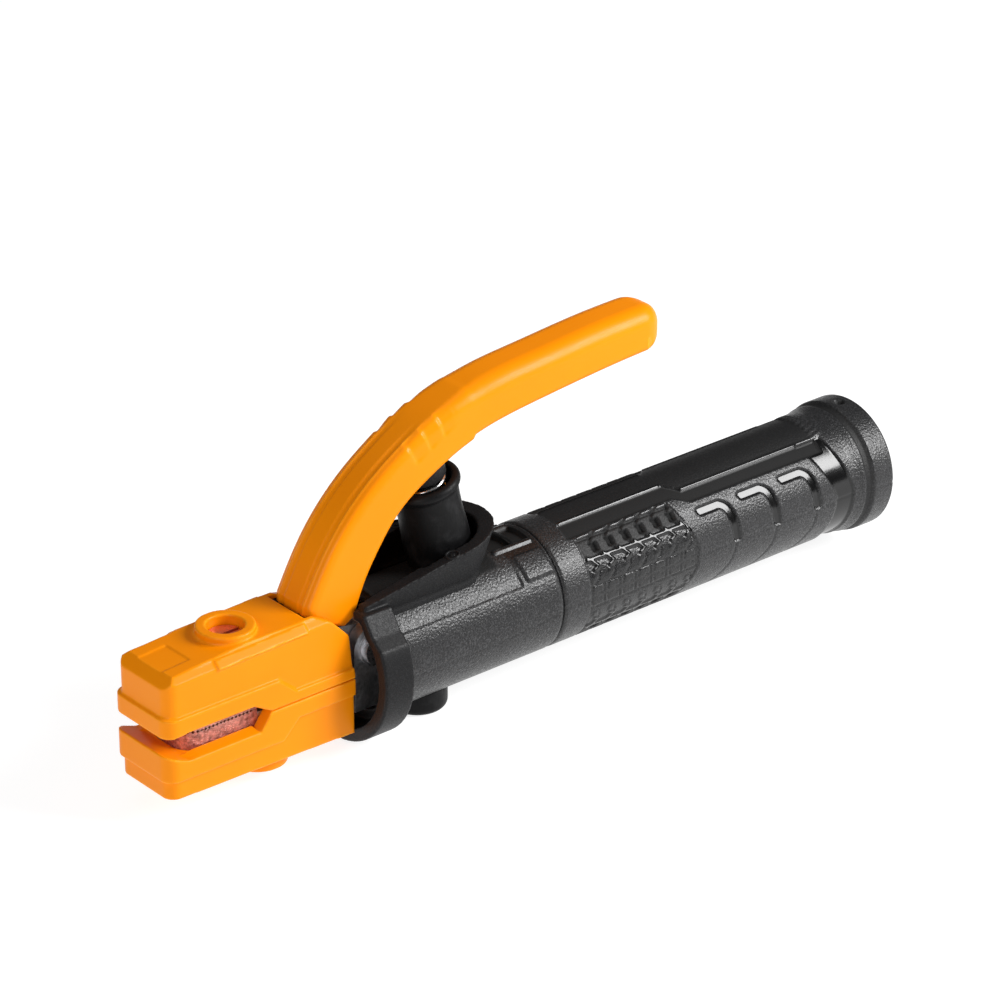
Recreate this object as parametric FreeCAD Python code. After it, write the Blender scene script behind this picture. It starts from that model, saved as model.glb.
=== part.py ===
import FreeCAD, Part

import math
import os

# Electrode holder for arc welding: a sprung tong with insulated jaws and a tubular handle.
# Millimetres. X runs along the handle from the jaws (-X) to the cable end (+X), Z is up,
# and the origin is the centre of the handle's rear face.

Vector = FreeCAD.Vector

# handle and front sleeve, both tubes about the X axis
HANDLE_R = 18.5
HANDLE_BORE_R = 14.5
HANDLE_FRONT_X = -126.2
FLARE_R = 19.9
FLARE_START_X = -17.0
FLARE_LIP_X = -7.0
ENTRY_R = 12.0
ENTRY_LENGTH = 10.0
HANG_HOLE_R = 1.8
HANG_HOLE_X = -4.0
HANG_HOLE_DEPTH = 2.0
SLEEVE_FRONT_X = -184.0
SLEEVE_REAR_X = -126.5
SLEEVE_BORE_R = 14.6
SPIGOT_R = 16.4
SPIGOT_LENGTH = 10.0
LUG_POCKET_R = 16.2
LUG_POCKET_LENGTH = 6.5

# front guard: a round collar with sloping shoulders, and the spring tray behind it
GUARD_FRONT_X = -194.0
GUARD_WEB_X = -186.5
GUARD_R = 23.6
GUARD_HOLLOW_R = 19.8
GUARD_WEB_HOLE_R = 16.4
GUARD_SHOULDER = [(21.2, 10.4), (17.6, 13.4), (13.9, 18.8)]
GUARD_HOLLOW_SHOULDER = [(17.2, 9.8), (14.4, 12.4), (12.2, 16.0)]
TRAY_FRONT_X = -192.0
TRAY_END_X = -156.2
TRAY_HALF_WIDTH = 14.5
TRAY_WIDTH_Z = 27.0
TRAY_LOW_Z = 8.0
TRAY_HIGH_Z = 34.0
TRAY_DRAFT = 0.3
TRAY_RIM_Z = 26.95
TRAY_RIM_SLOPE = 0.19
TRAY_SLOT_HALF_WIDTH = 9.2
TRAY_POCKET_R = 10.4
TRAY_POCKET_FRONT_X = -170.0

# foot under the sleeve, with the screw that locks the handle parts to the conductor
FOOT_X = -164.5
FOOT_R = 8.5
FOOT_BOTTOM_Z = -24.0
FOOT_EDGE_R = 2.0
FOOT_HOLE_R = 4.6
FOOT_FLOOR = 1.5
LOCK_SCREW_R = 2.5
LOCK_SCREW_TOP_Z = -4.0
LOCK_HEAD_R = 4.2
LOCK_HEAD = 3.0
LOCK_KEY = 4.0
LOCK_KEY_DEPTH = 1.8

# jaws: two insulating blocks over the metal arms, parted at z = 0
JAW_FRONT_X = -258.3
JAW_REAR_X = -195.5
JAW_HALF_WIDTH = 12.5
JAW_CORNER_R = 4.0
JAW_GAP = 0.15
UPPER_MOUTH = [(-224.0, JAW_GAP), (-229.7, 3.4), (-251.0, 3.4), (JAW_FRONT_X, 2.7)]
LOWER_MOUTH = [(-224.0, -JAW_GAP), (-227.6, -5.0), (-251.0, -5.0), (JAW_FRONT_X, -2.3)]
ARM_FRONT_X = -250.2
ARM_HALF_WIDTH = 8.5
ARM_CORNER_R = 6.0
UPPER_ARM_REAR_X = -199.0
LOWER_ARM_REAR_X = -178.0
ARM_TOP_Z = 15.5
ARM_BOTTOM_Z = -12.3
UPPER_ARM_BOTTOM_Z = 0.8
LOWER_ARM_TOP_Z = -1.0
UPPER_TOP_Z = 21.6
UPPER_FRONT_TOP_Z = 19.8
LOWER_BOTTOM_Z = -17.1
LOWER_FRONT_BOTTOM_Z = -16.0
FRONT_CHAMFER_X = 4.2
FRONT_CHAMFER_Z = 3.9
TOP_BREAK_X = -230.0
EAR = [(-207.5, UPPER_TOP_Z), (-202.5, 19.1), (-196.8, 13.2)]
FOOT_NOTCH_X = -209.3
FOOT_NOTCH_PLAY = 0.2
EDGE_CHAMFER_Y = 3.0
EDGE_CHAMFER_Z = 2.8
UPPER_BOSS_X = -229.5
LOWER_BOSS_X = -220.0
BOSS_R = 8.25
BOSS_RECESS_R = 5.25
UPPER_BOSS_Z = 23.4
UPPER_RECESS_Z = 18.3
LOWER_BOSS_Z = -21.0
LOWER_RECESS_Z = -15.2
JAW_SCREW_R = 2.5
JAW_SCREW_HEAD_R = 4.8
JAW_SCREW_HEAD = 2.2
JAW_SCREW_TIP_Z = 8.5
SLOT_HALF_WIDTH = 0.6
SLOT_DEPTH = 1.1

# copper contacts with teeth across the jaw that bite the welding rod
CONTACT_REAR_X = -226.0
CONTACT_PLAY = 0.05
CONTACT_HALF_WIDTH = 8.4
CONTACT_DEPTH = 7.0
CONTACT_GAP = 0.1
TOOTH_FIRST_X = -248.0
TOOTH_LAST_X = -228.0
TOOTH_PITCH = 1.25
TOOTH_HALF_WIDTH = 0.45
TOOTH_DEPTH = 0.45
RIVET_XS = [-245.25, -235.25]
RIVET_R = 1.5
RIVET_HEAD_R = 2.0
RIVET_HEAD = 1.2
RIVET_SINK = 0.4
RIVET_TAIL = 3.0

# pivot of the lever
PIVOT = (-187.0, 6.0)
LUG_R = 7.0
LUG_INNER_Y = 6.25
LUG_OUTER_Y = 9.8
KNUCKLE_R = 6.5
KNUCKLE_HALF_WIDTH = 6.0
PIN_R = 3.0
PIN_CLEARANCE = 0.05
BUSH_R = 4.2
WASHER_R = 5.4
WASHER = 0.8
CLIP_R = 4.8
CLIP_GROOVE_R = 2.3
PIN_END_Y = 12.4

# lever: outline of the insulating cover in the XZ plane, and its metal core
COVER_HALF_WIDTH = 8.0
COVER_END_X = -80.3
COVER_END_R = 6.5
COVER_EDGE_R = 2.2
COVER_EDGE_RUN = 50.0
COVER_TOP = [(-207.0, 22.8), (-201.5, 32.8), (-194.4, 42.6), (-184.0, 52.4), (-171.8, 60.4),
             (-152.5, 69.6), (-126.0, 73.6), (-100.0, 75.6), (COVER_END_X, 76.1)]
COVER_BOTTOM = [(-191.8, 15.8), (-188.0, 25.0), (-182.5, 33.8), (-175.6, 42.0), (-166.0, 48.4),
                (-149.9, 55.4), (-125.5, 59.4), (-97.5, 61.9), (COVER_END_X, 62.8)]
COVER_FOOT = [(-195.5, 13.5), (-207.2, 19.0)]
CORE_HALF_WIDTH = 5.0
CORE_STATIONS = 8
CORE_SHARES = (0.32, 0.70)
CORE_ROOT = [(-207.2, 6.0), (-207.2, ARM_TOP_Z)]
CORE_HEEL = [(-190.0, 12.0), (-199.0, 2.0)]
COVER_SCREW_X = -112.0
COVER_SCREW_R = 1.8
COVER_SCREW_LENGTH = 5.5
COVER_SCREW_HEAD_R = 3.2
COVER_SCREW_HEAD = 1.6
COVER_SCREW_HEAD_PLAY = 0.3
COVER_SCREW_SLOT_DEPTH = 0.7
COVER_SCREW_SLOT_HALF_WIDTH = 0.4
COVER_SCREW_BASE_Z = 62.6
COVER_LOW_Z = 13.0

# conductor behind the jaws, inside the sleeve and the handle
SHANK_FRONT_X = -179.5
SHANK_REAR_X = -140.0
SHANK_R = 14.4
SHANK_COLLAR = 7.0
SADDLE_HALF_WIDTH = 10.6
SADDLE_BOTTOM_Z = -11.0
NECK_R = 7.0
SOCKET_FRONT_X = -84.0
SOCKET_REAR_X = -35.0
SOCKET_R = 12.0
SOCKET_RING_R = 14.3
SOCKET_RING = 4.0
SOCKET_BORE_R = 8.0
SOCKET_DEPTH = 40.0
SHOE_R = 10.0
SHOE_ANGLE = 70.0
SHOE_LENGTH = 30.0
SET_SCREW_XS = [-67.0, -50.0]
SET_SCREW_R = 4.0
SET_SCREW_KEY = 4.0
SET_SCREW_TOP_Z = 13.8
SET_SCREW_KEY_DEPTH = 2.4
SHOE_FRONT_GAP = 4.0

# spring and its boot, leaning towards the jaws from a seat in the shank
SPRING_FOOT = (-153.85, 11.25)
SPRING_TILT = 13.6
BOOT_R = 9.5
BOOT_BORE_R = 7.6
BOOT_FLOOR = 2.0
BOOT_HEIGHT = 35.0
BOOT_LIP_R = 10.3
BOOT_LIP = 3.0
BOOT_LIP_BEVEL = 0.8
BOOT_SEAT_R = 9.6
SLEEVE_BOOT_HOLE_R = 9.9
SPRING_MEAN_R = 5.6
SPRING_WIRE_R = 0.9
SPRING_TOP = 36.0
SPRING_PITCH = 5.0
SEAT_R = 6.8
SEAT_HEIGHT = 5.5
SEAT_NUB_R = 4.0
SEAT_NUB = 3.0

FAR = 60.0


def box(x0, x1, y0, y1, z0, z1):
    return Part.makeBox(x1 - x0, y1 - y0, z1 - z0, Vector(x0, y0, z0))


def cyl_x(r, x0, x1):
    return Part.makeCylinder(r, x1 - x0, Vector(x0, 0, 0), Vector(1, 0, 0))


def cyl_y(r, y0, y1, x, z):
    return Part.makeCylinder(r, y1 - y0, Vector(x, y0, z), Vector(0, 1, 0))


def cyl_z(r, z0, z1, x, y=0.0):
    return Part.makeCylinder(r, z1 - z0, Vector(x, y, z0), Vector(0, 0, 1))


def tube_x(outer, inner, x0, x1):
    return cyl_x(outer, x0, x1).cut(cyl_x(inner, x0 - 1, x1 + 1))


def prism_y(outline, half_width):
    """Solid from a closed XZ outline, from y = -half_width to +half_width."""
    points = [Vector(x, -half_width, z) for x, z in outline]
    face = Part.Face(Part.makePolygon(points + points[:1]))
    return face.extrude(Vector(0, 2 * half_width, 0))


def hex_prism(across_flats, z0, z1, x):
    radius = across_flats / 2 / math.cos(math.pi / 6)
    points = [Vector(x + radius * math.cos(k * math.pi / 3), radius * math.sin(k * math.pi / 3), z0)
              for k in range(6)]
    face = Part.Face(Part.makePolygon(points + points[:1]))
    return face.extrude(Vector(0, 0, z1 - z0))


def fused(shapes):
    result = shapes[0]
    for shape in shapes[1:]:
        result = result.fuse(shape)
    return result.removeSplitter()


def on_spring_axis(shape):
    """Move a shape from the upright Z axis to the spring's leaning axis."""
    x, z = SPRING_FOOT
    turn = FreeCAD.Rotation(Vector(0, 1, 0), -SPRING_TILT)
    moved = shape.copy()
    moved.Placement = FreeCAD.Placement(Vector(x, 0, z), turn).multiply(shape.Placement)
    return moved


def spline_edge(points, y):
    """Smooth edge through XZ points at one y."""
    curve = Part.BSplineCurve()
    curve.interpolate([Vector(x, y, z) for x, z in points])
    return curve.toShape()


def rounded_bar(x_round, x_flat, half, r, z0, z1):
    """Upright-sided bar from x_flat to x_round, with its two corners at x_round rounded."""
    inward = math.copysign(r, x_flat - x_round)
    wide = box(*sorted((x_round + inward, x_flat)), -half, half, z0, z1)
    narrow = box(*sorted((x_round, x_flat)), -half + r, half - r, z0, z1)
    corners = [cyl_z(r, z0, z1, x_round + inward, side * (half - r)) for side in (-1, 1)]
    return fused([wide, narrow] + corners)


def handle_grip():
    outline = [(HANDLE_FRONT_X, 0), (HANDLE_FRONT_X, HANDLE_R), (FLARE_START_X, HANDLE_R),
               (FLARE_LIP_X, FLARE_R), (-0.8, FLARE_R), (0, FLARE_R - 0.8), (0, 0)]
    points = [Vector(x, 0, r) for x, r in outline]
    face = Part.Face(Part.makePolygon(points + points[:1]))
    body = face.revolve(Vector(0, 0, 0), Vector(1, 0, 0), 360)
    body = body.cut(cyl_x(HANDLE_BORE_R, HANDLE_FRONT_X - 1, -ENTRY_LENGTH))
    body = body.cut(cyl_x(ENTRY_R, -ENTRY_LENGTH - 1, 1))
    spigot_pocket = cyl_x(SPIGOT_R + 0.05, HANDLE_FRONT_X - 1, SLEEVE_REAR_X + SPIGOT_LENGTH + 0.5)
    body = body.cut(spigot_pocket)
    return body.cut(cyl_z(HANG_HOLE_R, FLARE_R - HANG_HOLE_DEPTH, FAR, HANG_HOLE_X))


def front_sleeve():
    body = tube_x(HANDLE_R, SLEEVE_BORE_R, SLEEVE_FRONT_X, SLEEVE_REAR_X)
    spigot = tube_x(SPIGOT_R, SLEEVE_BORE_R, SLEEVE_REAR_X - 1, SLEEVE_REAR_X + SPIGOT_LENGTH)
    body = fused([body, spigot])
    body = body.cut(cyl_x(LUG_POCKET_R, SLEEVE_FRONT_X - 1, SLEEVE_FRONT_X + LUG_POCKET_LENGTH))
    body = body.cut(on_spring_axis(cyl_z(SLEEVE_BOOT_HOLE_R, 0, FAR, 0)))
    return body.cut(cyl_z(LOCK_SCREW_R, -FAR, 0, FOOT_X))


def collar_solid(radius, shoulder, x0, x1):
    """A disc about X whose top is cut by straight shoulders."""
    y0, z0 = shoulder[0]
    start = Vector(x0, y0, z0)
    end = Vector(x0, -y0, z0)
    arc = Part.Arc(start, Vector(x0, 0, -radius), end).toShape()
    right = [Vector(x0, y, z) for y, z in shoulder]
    left = [Vector(x0, -y, z) for y, z in reversed(shoulder)]
    top = Part.makePolygon(right + left)
    face = Part.Face(Part.Wire([arc] + top.Edges))
    return face.extrude(Vector(x1 - x0, 0, 0))


def tray_outline(z):
    """Level outline of the tray's outside at height z: two straight sides and a round end."""
    half = TRAY_HALF_WIDTH - TRAY_DRAFT * (TRAY_WIDTH_Z - z)
    near_front = Vector(TRAY_FRONT_X, -half, z)
    near_rear = Vector(TRAY_END_X, -half, z)
    far_rear = Vector(TRAY_END_X, half, z)
    far_front = Vector(TRAY_FRONT_X, half, z)
    end = Part.Arc(near_rear, Vector(TRAY_END_X + half, 0, z), far_rear).toShape()
    return Part.Wire([Part.LineSegment(near_front, near_rear).toShape(), end,
                      Part.LineSegment(far_rear, far_front).toShape(),
                      Part.LineSegment(far_front, near_front).toShape()])


def tray_solid():
    tray = Part.makeLoft([tray_outline(TRAY_LOW_Z), tray_outline(TRAY_HIGH_Z)], True, True)
    front_x = TRAY_FRONT_X - 5
    rear_x = TRAY_END_X + 40
    front_z = TRAY_RIM_Z + TRAY_RIM_SLOPE * (front_x - TRAY_END_X)
    rear_z = TRAY_RIM_Z + TRAY_RIM_SLOPE * (rear_x - TRAY_END_X)
    tray = tray.cut(prism_y([(front_x, front_z), (rear_x, rear_z), (rear_x, FAR), (front_x, FAR)], FAR))
    return tray.cut(cyl_x(HANDLE_R, SLEEVE_FRONT_X, 0))


def front_guard():
    flange = collar_solid(GUARD_R, GUARD_SHOULDER, GUARD_FRONT_X, SLEEVE_FRONT_X)
    hollow = collar_solid(GUARD_HOLLOW_R, GUARD_HOLLOW_SHOULDER, GUARD_FRONT_X - 1, GUARD_WEB_X)
    flange = flange.cut(hollow)
    web_hole = cyl_x(GUARD_WEB_HOLE_R, GUARD_WEB_X - 1, SLEEVE_FRONT_X + 1)
    flange = flange.cut(web_hole)
    tray = tray_solid().cut(hollow)
    tray = tray.cut(cyl_x(GUARD_WEB_HOLE_R, GUARD_WEB_X - 1, SLEEVE_FRONT_X))
    body = fused([flange, tray])
    slot, pocket = TRAY_SLOT_HALF_WIDTH, TRAY_POCKET_R
    body = body.cut(box(GUARD_FRONT_X - 1, TRAY_END_X, -slot, slot, TRAY_LOW_Z, FAR))
    body = body.cut(box(TRAY_POCKET_FRONT_X, TRAY_END_X, -pocket, pocket, TRAY_LOW_Z, FAR))
    return body.cut(cyl_z(pocket, TRAY_LOW_Z, FAR, TRAY_END_X))


def foot_cap():
    body = cyl_z(FOOT_R, FOOT_BOTTOM_Z, -10, FOOT_X)
    low_edges = [e for e in body.Edges if e.BoundBox.ZMax < FOOT_BOTTOM_Z + 0.1]
    body = body.makeFillet(FOOT_EDGE_R, low_edges)
    body = body.cut(cyl_x(HANDLE_R, FOOT_X - FAR, FOOT_X + FAR))
    return body.cut(cyl_z(FOOT_HOLE_R, FOOT_BOTTOM_Z + FOOT_FLOOR, 0, FOOT_X))


def handle_lock_screw():
    shank = cyl_z(LOCK_SCREW_R, -HANDLE_R, LOCK_SCREW_TOP_Z, FOOT_X)
    head_z = -HANDLE_R - LOCK_HEAD
    head = cyl_z(LOCK_HEAD_R, head_z, -HANDLE_R, FOOT_X)
    return fused([shank, head]).cut(hex_prism(LOCK_KEY, -FAR, head_z + LOCK_KEY_DEPTH, FOOT_X))


def upper_block():
    top = UPPER_FRONT_TOP_Z
    outline = [*UPPER_MOUTH, (JAW_FRONT_X, top - FRONT_CHAMFER_Z),
               (JAW_FRONT_X + FRONT_CHAMFER_X, top), (TOP_BREAK_X, UPPER_TOP_Z - 0.1), *EAR,
               (JAW_REAR_X, JAW_GAP)]
    return prism_y(outline, JAW_HALF_WIDTH)


def lower_block():
    outline = [*LOWER_MOUTH, (JAW_FRONT_X, LOWER_FRONT_BOTTOM_Z), (JAW_REAR_X, LOWER_BOTTOM_Z),
               (JAW_REAR_X, -JAW_GAP)]
    return prism_y(outline, JAW_HALF_WIDTH)


def edge_wedge(side):
    """Wedge that bevels the upper block's long top edge at y = side * half width."""
    def corner(x, z):
        y = side * JAW_HALF_WIDTH
        points = [Vector(x, y + side, z + 1), Vector(x, y + side, z - EDGE_CHAMFER_Z),
                  Vector(x, y, z - EDGE_CHAMFER_Z), Vector(x, y - side * EDGE_CHAMFER_Y, z),
                  Vector(x, y - side * EDGE_CHAMFER_Y, z + 1)]
        return Part.makePolygon(points + points[:1])

    ends = [corner(JAW_FRONT_X - 1, UPPER_FRONT_TOP_Z), corner(JAW_REAR_X + 1, UPPER_TOP_Z)]
    return Part.makeLoft(ends, True, True)


def jaw_room():
    """Upright room as wide as the jaws, with rounded front corners."""
    return rounded_bar(JAW_FRONT_X, JAW_REAR_X, JAW_HALF_WIDTH, JAW_CORNER_R, -FAR, FAR)


def arm_room(z0, z1):
    """Space for a metal arm inside a jaw block, open at the rear."""
    return rounded_bar(ARM_FRONT_X, JAW_REAR_X + 1, ARM_HALF_WIDTH, ARM_CORNER_R, z0, z1)


def upper_jaw_insulator():
    body = upper_block().common(jaw_room())
    for side in (-1, 1):
        body = body.cut(edge_wedge(side))
    body = fused([body, cyl_z(BOSS_R, ARM_TOP_Z - 0.5, UPPER_BOSS_Z, UPPER_BOSS_X)])
    body = body.cut(arm_room(-5, ARM_TOP_Z))
    foot = COVER_HALF_WIDTH + FOOT_NOTCH_PLAY
    body = body.cut(box(FOOT_NOTCH_X, JAW_REAR_X + 1, -foot, foot, 0, FAR))
    body = body.cut(cyl_z(BOSS_RECESS_R, UPPER_RECESS_Z, FAR, UPPER_BOSS_X))
    return body.cut(cyl_z(JAW_SCREW_R, 0, FAR, UPPER_BOSS_X))


def lower_jaw_insulator():
    body = lower_block().common(jaw_room())
    body = fused([body, cyl_z(BOSS_R, LOWER_BOSS_Z, ARM_BOTTOM_Z - 0.2, LOWER_BOSS_X)])
    body = body.cut(arm_room(ARM_BOTTOM_Z, 5))
    body = body.cut(cyl_z(BOSS_RECESS_R, -FAR, LOWER_RECESS_Z, LOWER_BOSS_X))
    return body.cut(cyl_z(JAW_SCREW_R, -FAR, 0, LOWER_BOSS_X))


def jaw_screw(x, up, recess_z):
    """Slotted screw whose head sits on the recess floor, pointing down (up = 1) or up (up = -1)."""
    tip = up * JAW_SCREW_TIP_Z
    top = recess_z + up * JAW_SCREW_HEAD
    shank = cyl_z(JAW_SCREW_R, *sorted((tip, recess_z)), x)
    head = cyl_z(JAW_SCREW_HEAD_R, *sorted((recess_z, top)), x)
    slot_z = sorted((top - up * SLOT_DEPTH, top + up))
    slot = box(x - BOSS_R, x + BOSS_R, -SLOT_HALF_WIDTH, SLOT_HALF_WIDTH, *slot_z)
    return fused([shank, head]).cut(slot)


def tooth_gap(x, up):
    """V-shaped gap across a contact between two of its teeth."""
    outline = [(x - TOOTH_HALF_WIDTH, 0), (x, up * (CONTACT_GAP + TOOTH_DEPTH)), (x + TOOTH_HALF_WIDTH, 0)]
    return prism_y(outline, FAR)


def contact(up):
    """Copper contact above (up = 1) or below (up = -1) the parting plane."""
    span = sorted((up * CONTACT_GAP, up * CONTACT_DEPTH))
    block = rounded_bar(ARM_FRONT_X, CONTACT_REAR_X, CONTACT_HALF_WIDTH, ARM_CORNER_R, *span)
    gaps = round((TOOTH_LAST_X - TOOTH_FIRST_X) / TOOTH_PITCH) + 1
    for k in range(gaps):
        block = block.cut(tooth_gap(TOOTH_FIRST_X + k * TOOTH_PITCH, up))
    mouth = sorted((0, up * (RIVET_SINK + RIVET_HEAD)))
    for x in RIVET_XS:
        block = block.cut(cyl_z(RIVET_R, -FAR, FAR, x))
        block = block.cut(cyl_z(RIVET_HEAD_R, *mouth, x))
    return block


def contact_rivets(up):
    rivets = []
    neck = up * (RIVET_SINK + RIVET_HEAD)
    for x in RIVET_XS:
        shank = cyl_z(RIVET_R, *sorted((neck, up * (CONTACT_DEPTH + RIVET_TAIL))), x)
        head = cyl_z(RIVET_HEAD_R, *sorted((up * RIVET_SINK, neck)), x)
        rivets.append(fused([shank, head]))
    return Part.makeCompound(rivets)


def contact_seat(z0, z1):
    """Space for a contact at the front of a metal arm."""
    return box(ARM_FRONT_X - 1, CONTACT_REAR_X + CONTACT_PLAY, -FAR, FAR, z0, z1)


def conductor_body():
    x, z = PIVOT
    rear, low, high = LOWER_ARM_REAR_X, ARM_BOTTOM_Z, LOWER_ARM_TOP_Z
    arm = rounded_bar(ARM_FRONT_X, rear, ARM_HALF_WIDTH, ARM_CORNER_R, low, high)
    arm = arm.cut(contact_seat(-CONTACT_DEPTH, 5))
    web = [(x - LUG_R, z), (x - LUG_R, low), (rear, low), (rear, high - 1), (x + LUG_R, z)]
    lugs = fused([cyl_y(LUG_R, -LUG_OUTER_Y, LUG_OUTER_Y, x, z), prism_y(web, LUG_OUTER_Y)])
    lugs = lugs.cut(box(x - FAR, SHANK_FRONT_X, -LUG_INNER_Y, LUG_INNER_Y, high, FAR))
    collar = cyl_x(SHANK_R, SHANK_FRONT_X, SHANK_FRONT_X + SHANK_COLLAR)
    saddle = cyl_x(SHANK_R, SHANK_FRONT_X, SHANK_REAR_X)
    saddle = saddle.common(box(SHANK_FRONT_X, SHANK_REAR_X, -SADDLE_HALF_WIDTH, SADDLE_HALF_WIDTH,
                               SADDLE_BOTTOM_Z, FAR))
    neck = cyl_x(NECK_R, SHANK_REAR_X - 1, SOCKET_FRONT_X + 1)
    socket = cyl_x(SOCKET_R, SOCKET_FRONT_X, SOCKET_REAR_X)
    rings = [cyl_x(SOCKET_RING_R, x0, x0 + SOCKET_RING)
             for x0 in (SOCKET_FRONT_X, SOCKET_REAR_X - SOCKET_RING)]
    body = fused([arm, lugs, collar, saddle, neck, socket] + rings)
    body = body.cut(cyl_x(SOCKET_BORE_R, SOCKET_REAR_X - SOCKET_DEPTH, SOCKET_REAR_X + 1))
    body = body.cut(shoe_solid())
    body = body.cut(on_spring_axis(cyl_z(BOOT_SEAT_R, 0, FAR, 0)))
    body = body.cut(cyl_y(PIN_R, -FAR, FAR, x, z))
    body = body.cut(cyl_z(JAW_SCREW_R, -FAR, -JAW_SCREW_TIP_Z, LOWER_BOSS_X))
    body = body.cut(cyl_z(LOCK_SCREW_R, -FAR, LOCK_SCREW_TOP_Z, FOOT_X))
    for screw_x in SET_SCREW_XS:
        body = body.cut(cyl_z(SET_SCREW_R, SHOE_R - 0.5, FAR, screw_x))
    for rivet_x in RIVET_XS:
        body = body.cut(cyl_z(RIVET_R, -CONTACT_DEPTH - RIVET_TAIL, 0, rivet_x))
    return body


def shoe_solid():
    """Curved plate in the roof of the cable socket, with its face flush with the bore."""
    x0 = SOCKET_REAR_X - SOCKET_DEPTH + SHOE_FRONT_GAP
    ring = tube_x(SHOE_R, SOCKET_BORE_R, x0, x0 + SHOE_LENGTH)
    half = math.radians(SHOE_ANGLE / 2)
    reach = 2 * SHOE_R
    points = [Vector(x0, 0, 0), Vector(x0, reach * math.sin(half), reach * math.cos(half)),
              Vector(x0, -reach * math.sin(half), reach * math.cos(half))]
    wedge = Part.Face(Part.makePolygon(points + points[:1])).extrude(Vector(SHOE_LENGTH, 0, 0))
    return ring.common(wedge)


def cable_set_screws():
    screws = []
    for x in SET_SCREW_XS:
        screw = cyl_z(SET_SCREW_R, SHOE_R, SET_SCREW_TOP_Z, x)
        key_z = SET_SCREW_TOP_Z - SET_SCREW_KEY_DEPTH
        screws.append(screw.cut(hex_prism(SET_SCREW_KEY, key_z, FAR, x)))
    return Part.makeCompound(screws)


def pivot_pin():
    x, z = PIVOT
    pin = cyl_y(PIN_R, -LUG_OUTER_Y - WASHER, PIN_END_Y, x, z)
    head = cyl_y(CLIP_R, -PIN_END_Y, -LUG_OUTER_Y - WASHER, x, z)
    groove_y = LUG_OUTER_Y + WASHER
    groove = cyl_y(PIN_R + 1, groove_y, groove_y + WASHER, x, z)
    groove = groove.cut(cyl_y(CLIP_GROOVE_R, groove_y, groove_y + WASHER, x, z))
    return fused([pin, head]).cut(groove)


def pivot_washers():
    x, z = PIVOT
    washers = []
    for y in (-LUG_OUTER_Y - WASHER, LUG_OUTER_Y):
        ring = cyl_y(WASHER_R, y, y + WASHER, x, z)
        washers.append(ring.cut(cyl_y(PIN_R, y - 1, y + 2, x, z)))
    return Part.makeCompound(washers)


def pivot_clip():
    x, z = PIVOT
    y = LUG_OUTER_Y + WASHER
    ring = cyl_y(CLIP_R, y, y + WASHER, x, z).cut(cyl_y(CLIP_GROOVE_R, y - 1, y + 2, x, z))
    mouth = box(x - 1.6, x + 1.6, y - 1, y + 2, z, z + FAR)
    return ring.cut(mouth)


def pivot_bushing():
    x, z = PIVOT
    half = KNUCKLE_HALF_WIDTH
    return cyl_y(BUSH_R, -half, half, x, z).cut(cyl_y(PIN_R + PIN_CLEARANCE, -FAR, FAR, x, z))


def spring_cup():
    top, lip, bevel = BOOT_HEIGHT, BOOT_LIP_R, BOOT_LIP_BEVEL
    outline = [(0, 0), (BOOT_R, 0), (BOOT_R, top - BOOT_LIP), (lip, top - BOOT_LIP + bevel),
               (lip, top - bevel), (lip - bevel, top), (BOOT_BORE_R, top), (BOOT_BORE_R, BOOT_FLOOR),
               (0, BOOT_FLOOR)]
    points = [Vector(r, 0, z) for r, z in outline]
    face = Part.Face(Part.makePolygon(points + points[:1]))
    return on_spring_axis(face.revolve(Vector(0, 0, 0), Vector(0, 0, 1), 360))


def compression_spring():
    low = BOOT_FLOOR + SPRING_WIRE_R
    high = SPRING_TOP - SPRING_WIRE_R
    helix = Part.makeHelix(SPRING_PITCH, high - low, SPRING_MEAN_R)
    rise = SPRING_PITCH / (2 * math.pi * SPRING_MEAN_R)
    circle = Part.Circle(Vector(SPRING_MEAN_R, 0, 0), Vector(0, 1, rise), SPRING_WIRE_R)
    profile = Part.Wire([circle.toShape()])
    coil = Part.Wire(helix).makePipeShell([profile], True, True)
    coil.translate(Vector(0, 0, low))
    return on_spring_axis(coil)


def spring_top_seat():
    plate = cyl_z(SEAT_R, SPRING_TOP, SPRING_TOP + SEAT_HEIGHT, 0)
    nub = cyl_z(SEAT_NUB_R, SPRING_TOP - SEAT_NUB, SPRING_TOP, 0)
    return on_spring_axis(fused([plate, nub]))


def cover_solid():
    y = -COVER_HALF_WIDTH
    top = spline_edge(COVER_TOP, y)
    bottom = spline_edge(COVER_BOTTOM, y)
    end = Part.makePolygon([Vector(x, y, z) for x, z in (COVER_TOP[-1], COVER_BOTTOM[-1])])
    foot = [COVER_BOTTOM[0]] + COVER_FOOT + [COVER_TOP[0]]
    front = Part.makePolygon([Vector(x, y, z) for x, z in foot])
    face = Part.Face(Part.Wire([top] + end.Edges + [bottom] + front.Edges))
    solid = face.extrude(Vector(0, 2 * COVER_HALF_WIDTH, 0))
    room = rounded_bar(COVER_END_X, JAW_FRONT_X, COVER_HALF_WIDTH, COVER_END_R, 0, 2 * FAR)
    solid = solid.common(room)
    level = [e for e in solid.Edges if e.BoundBox.YLength < 0.01]
    long_edges = [e for e in level if e.BoundBox.XLength > COVER_EDGE_RUN]
    return solid.makeFillet(COVER_EDGE_R, long_edges)


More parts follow.
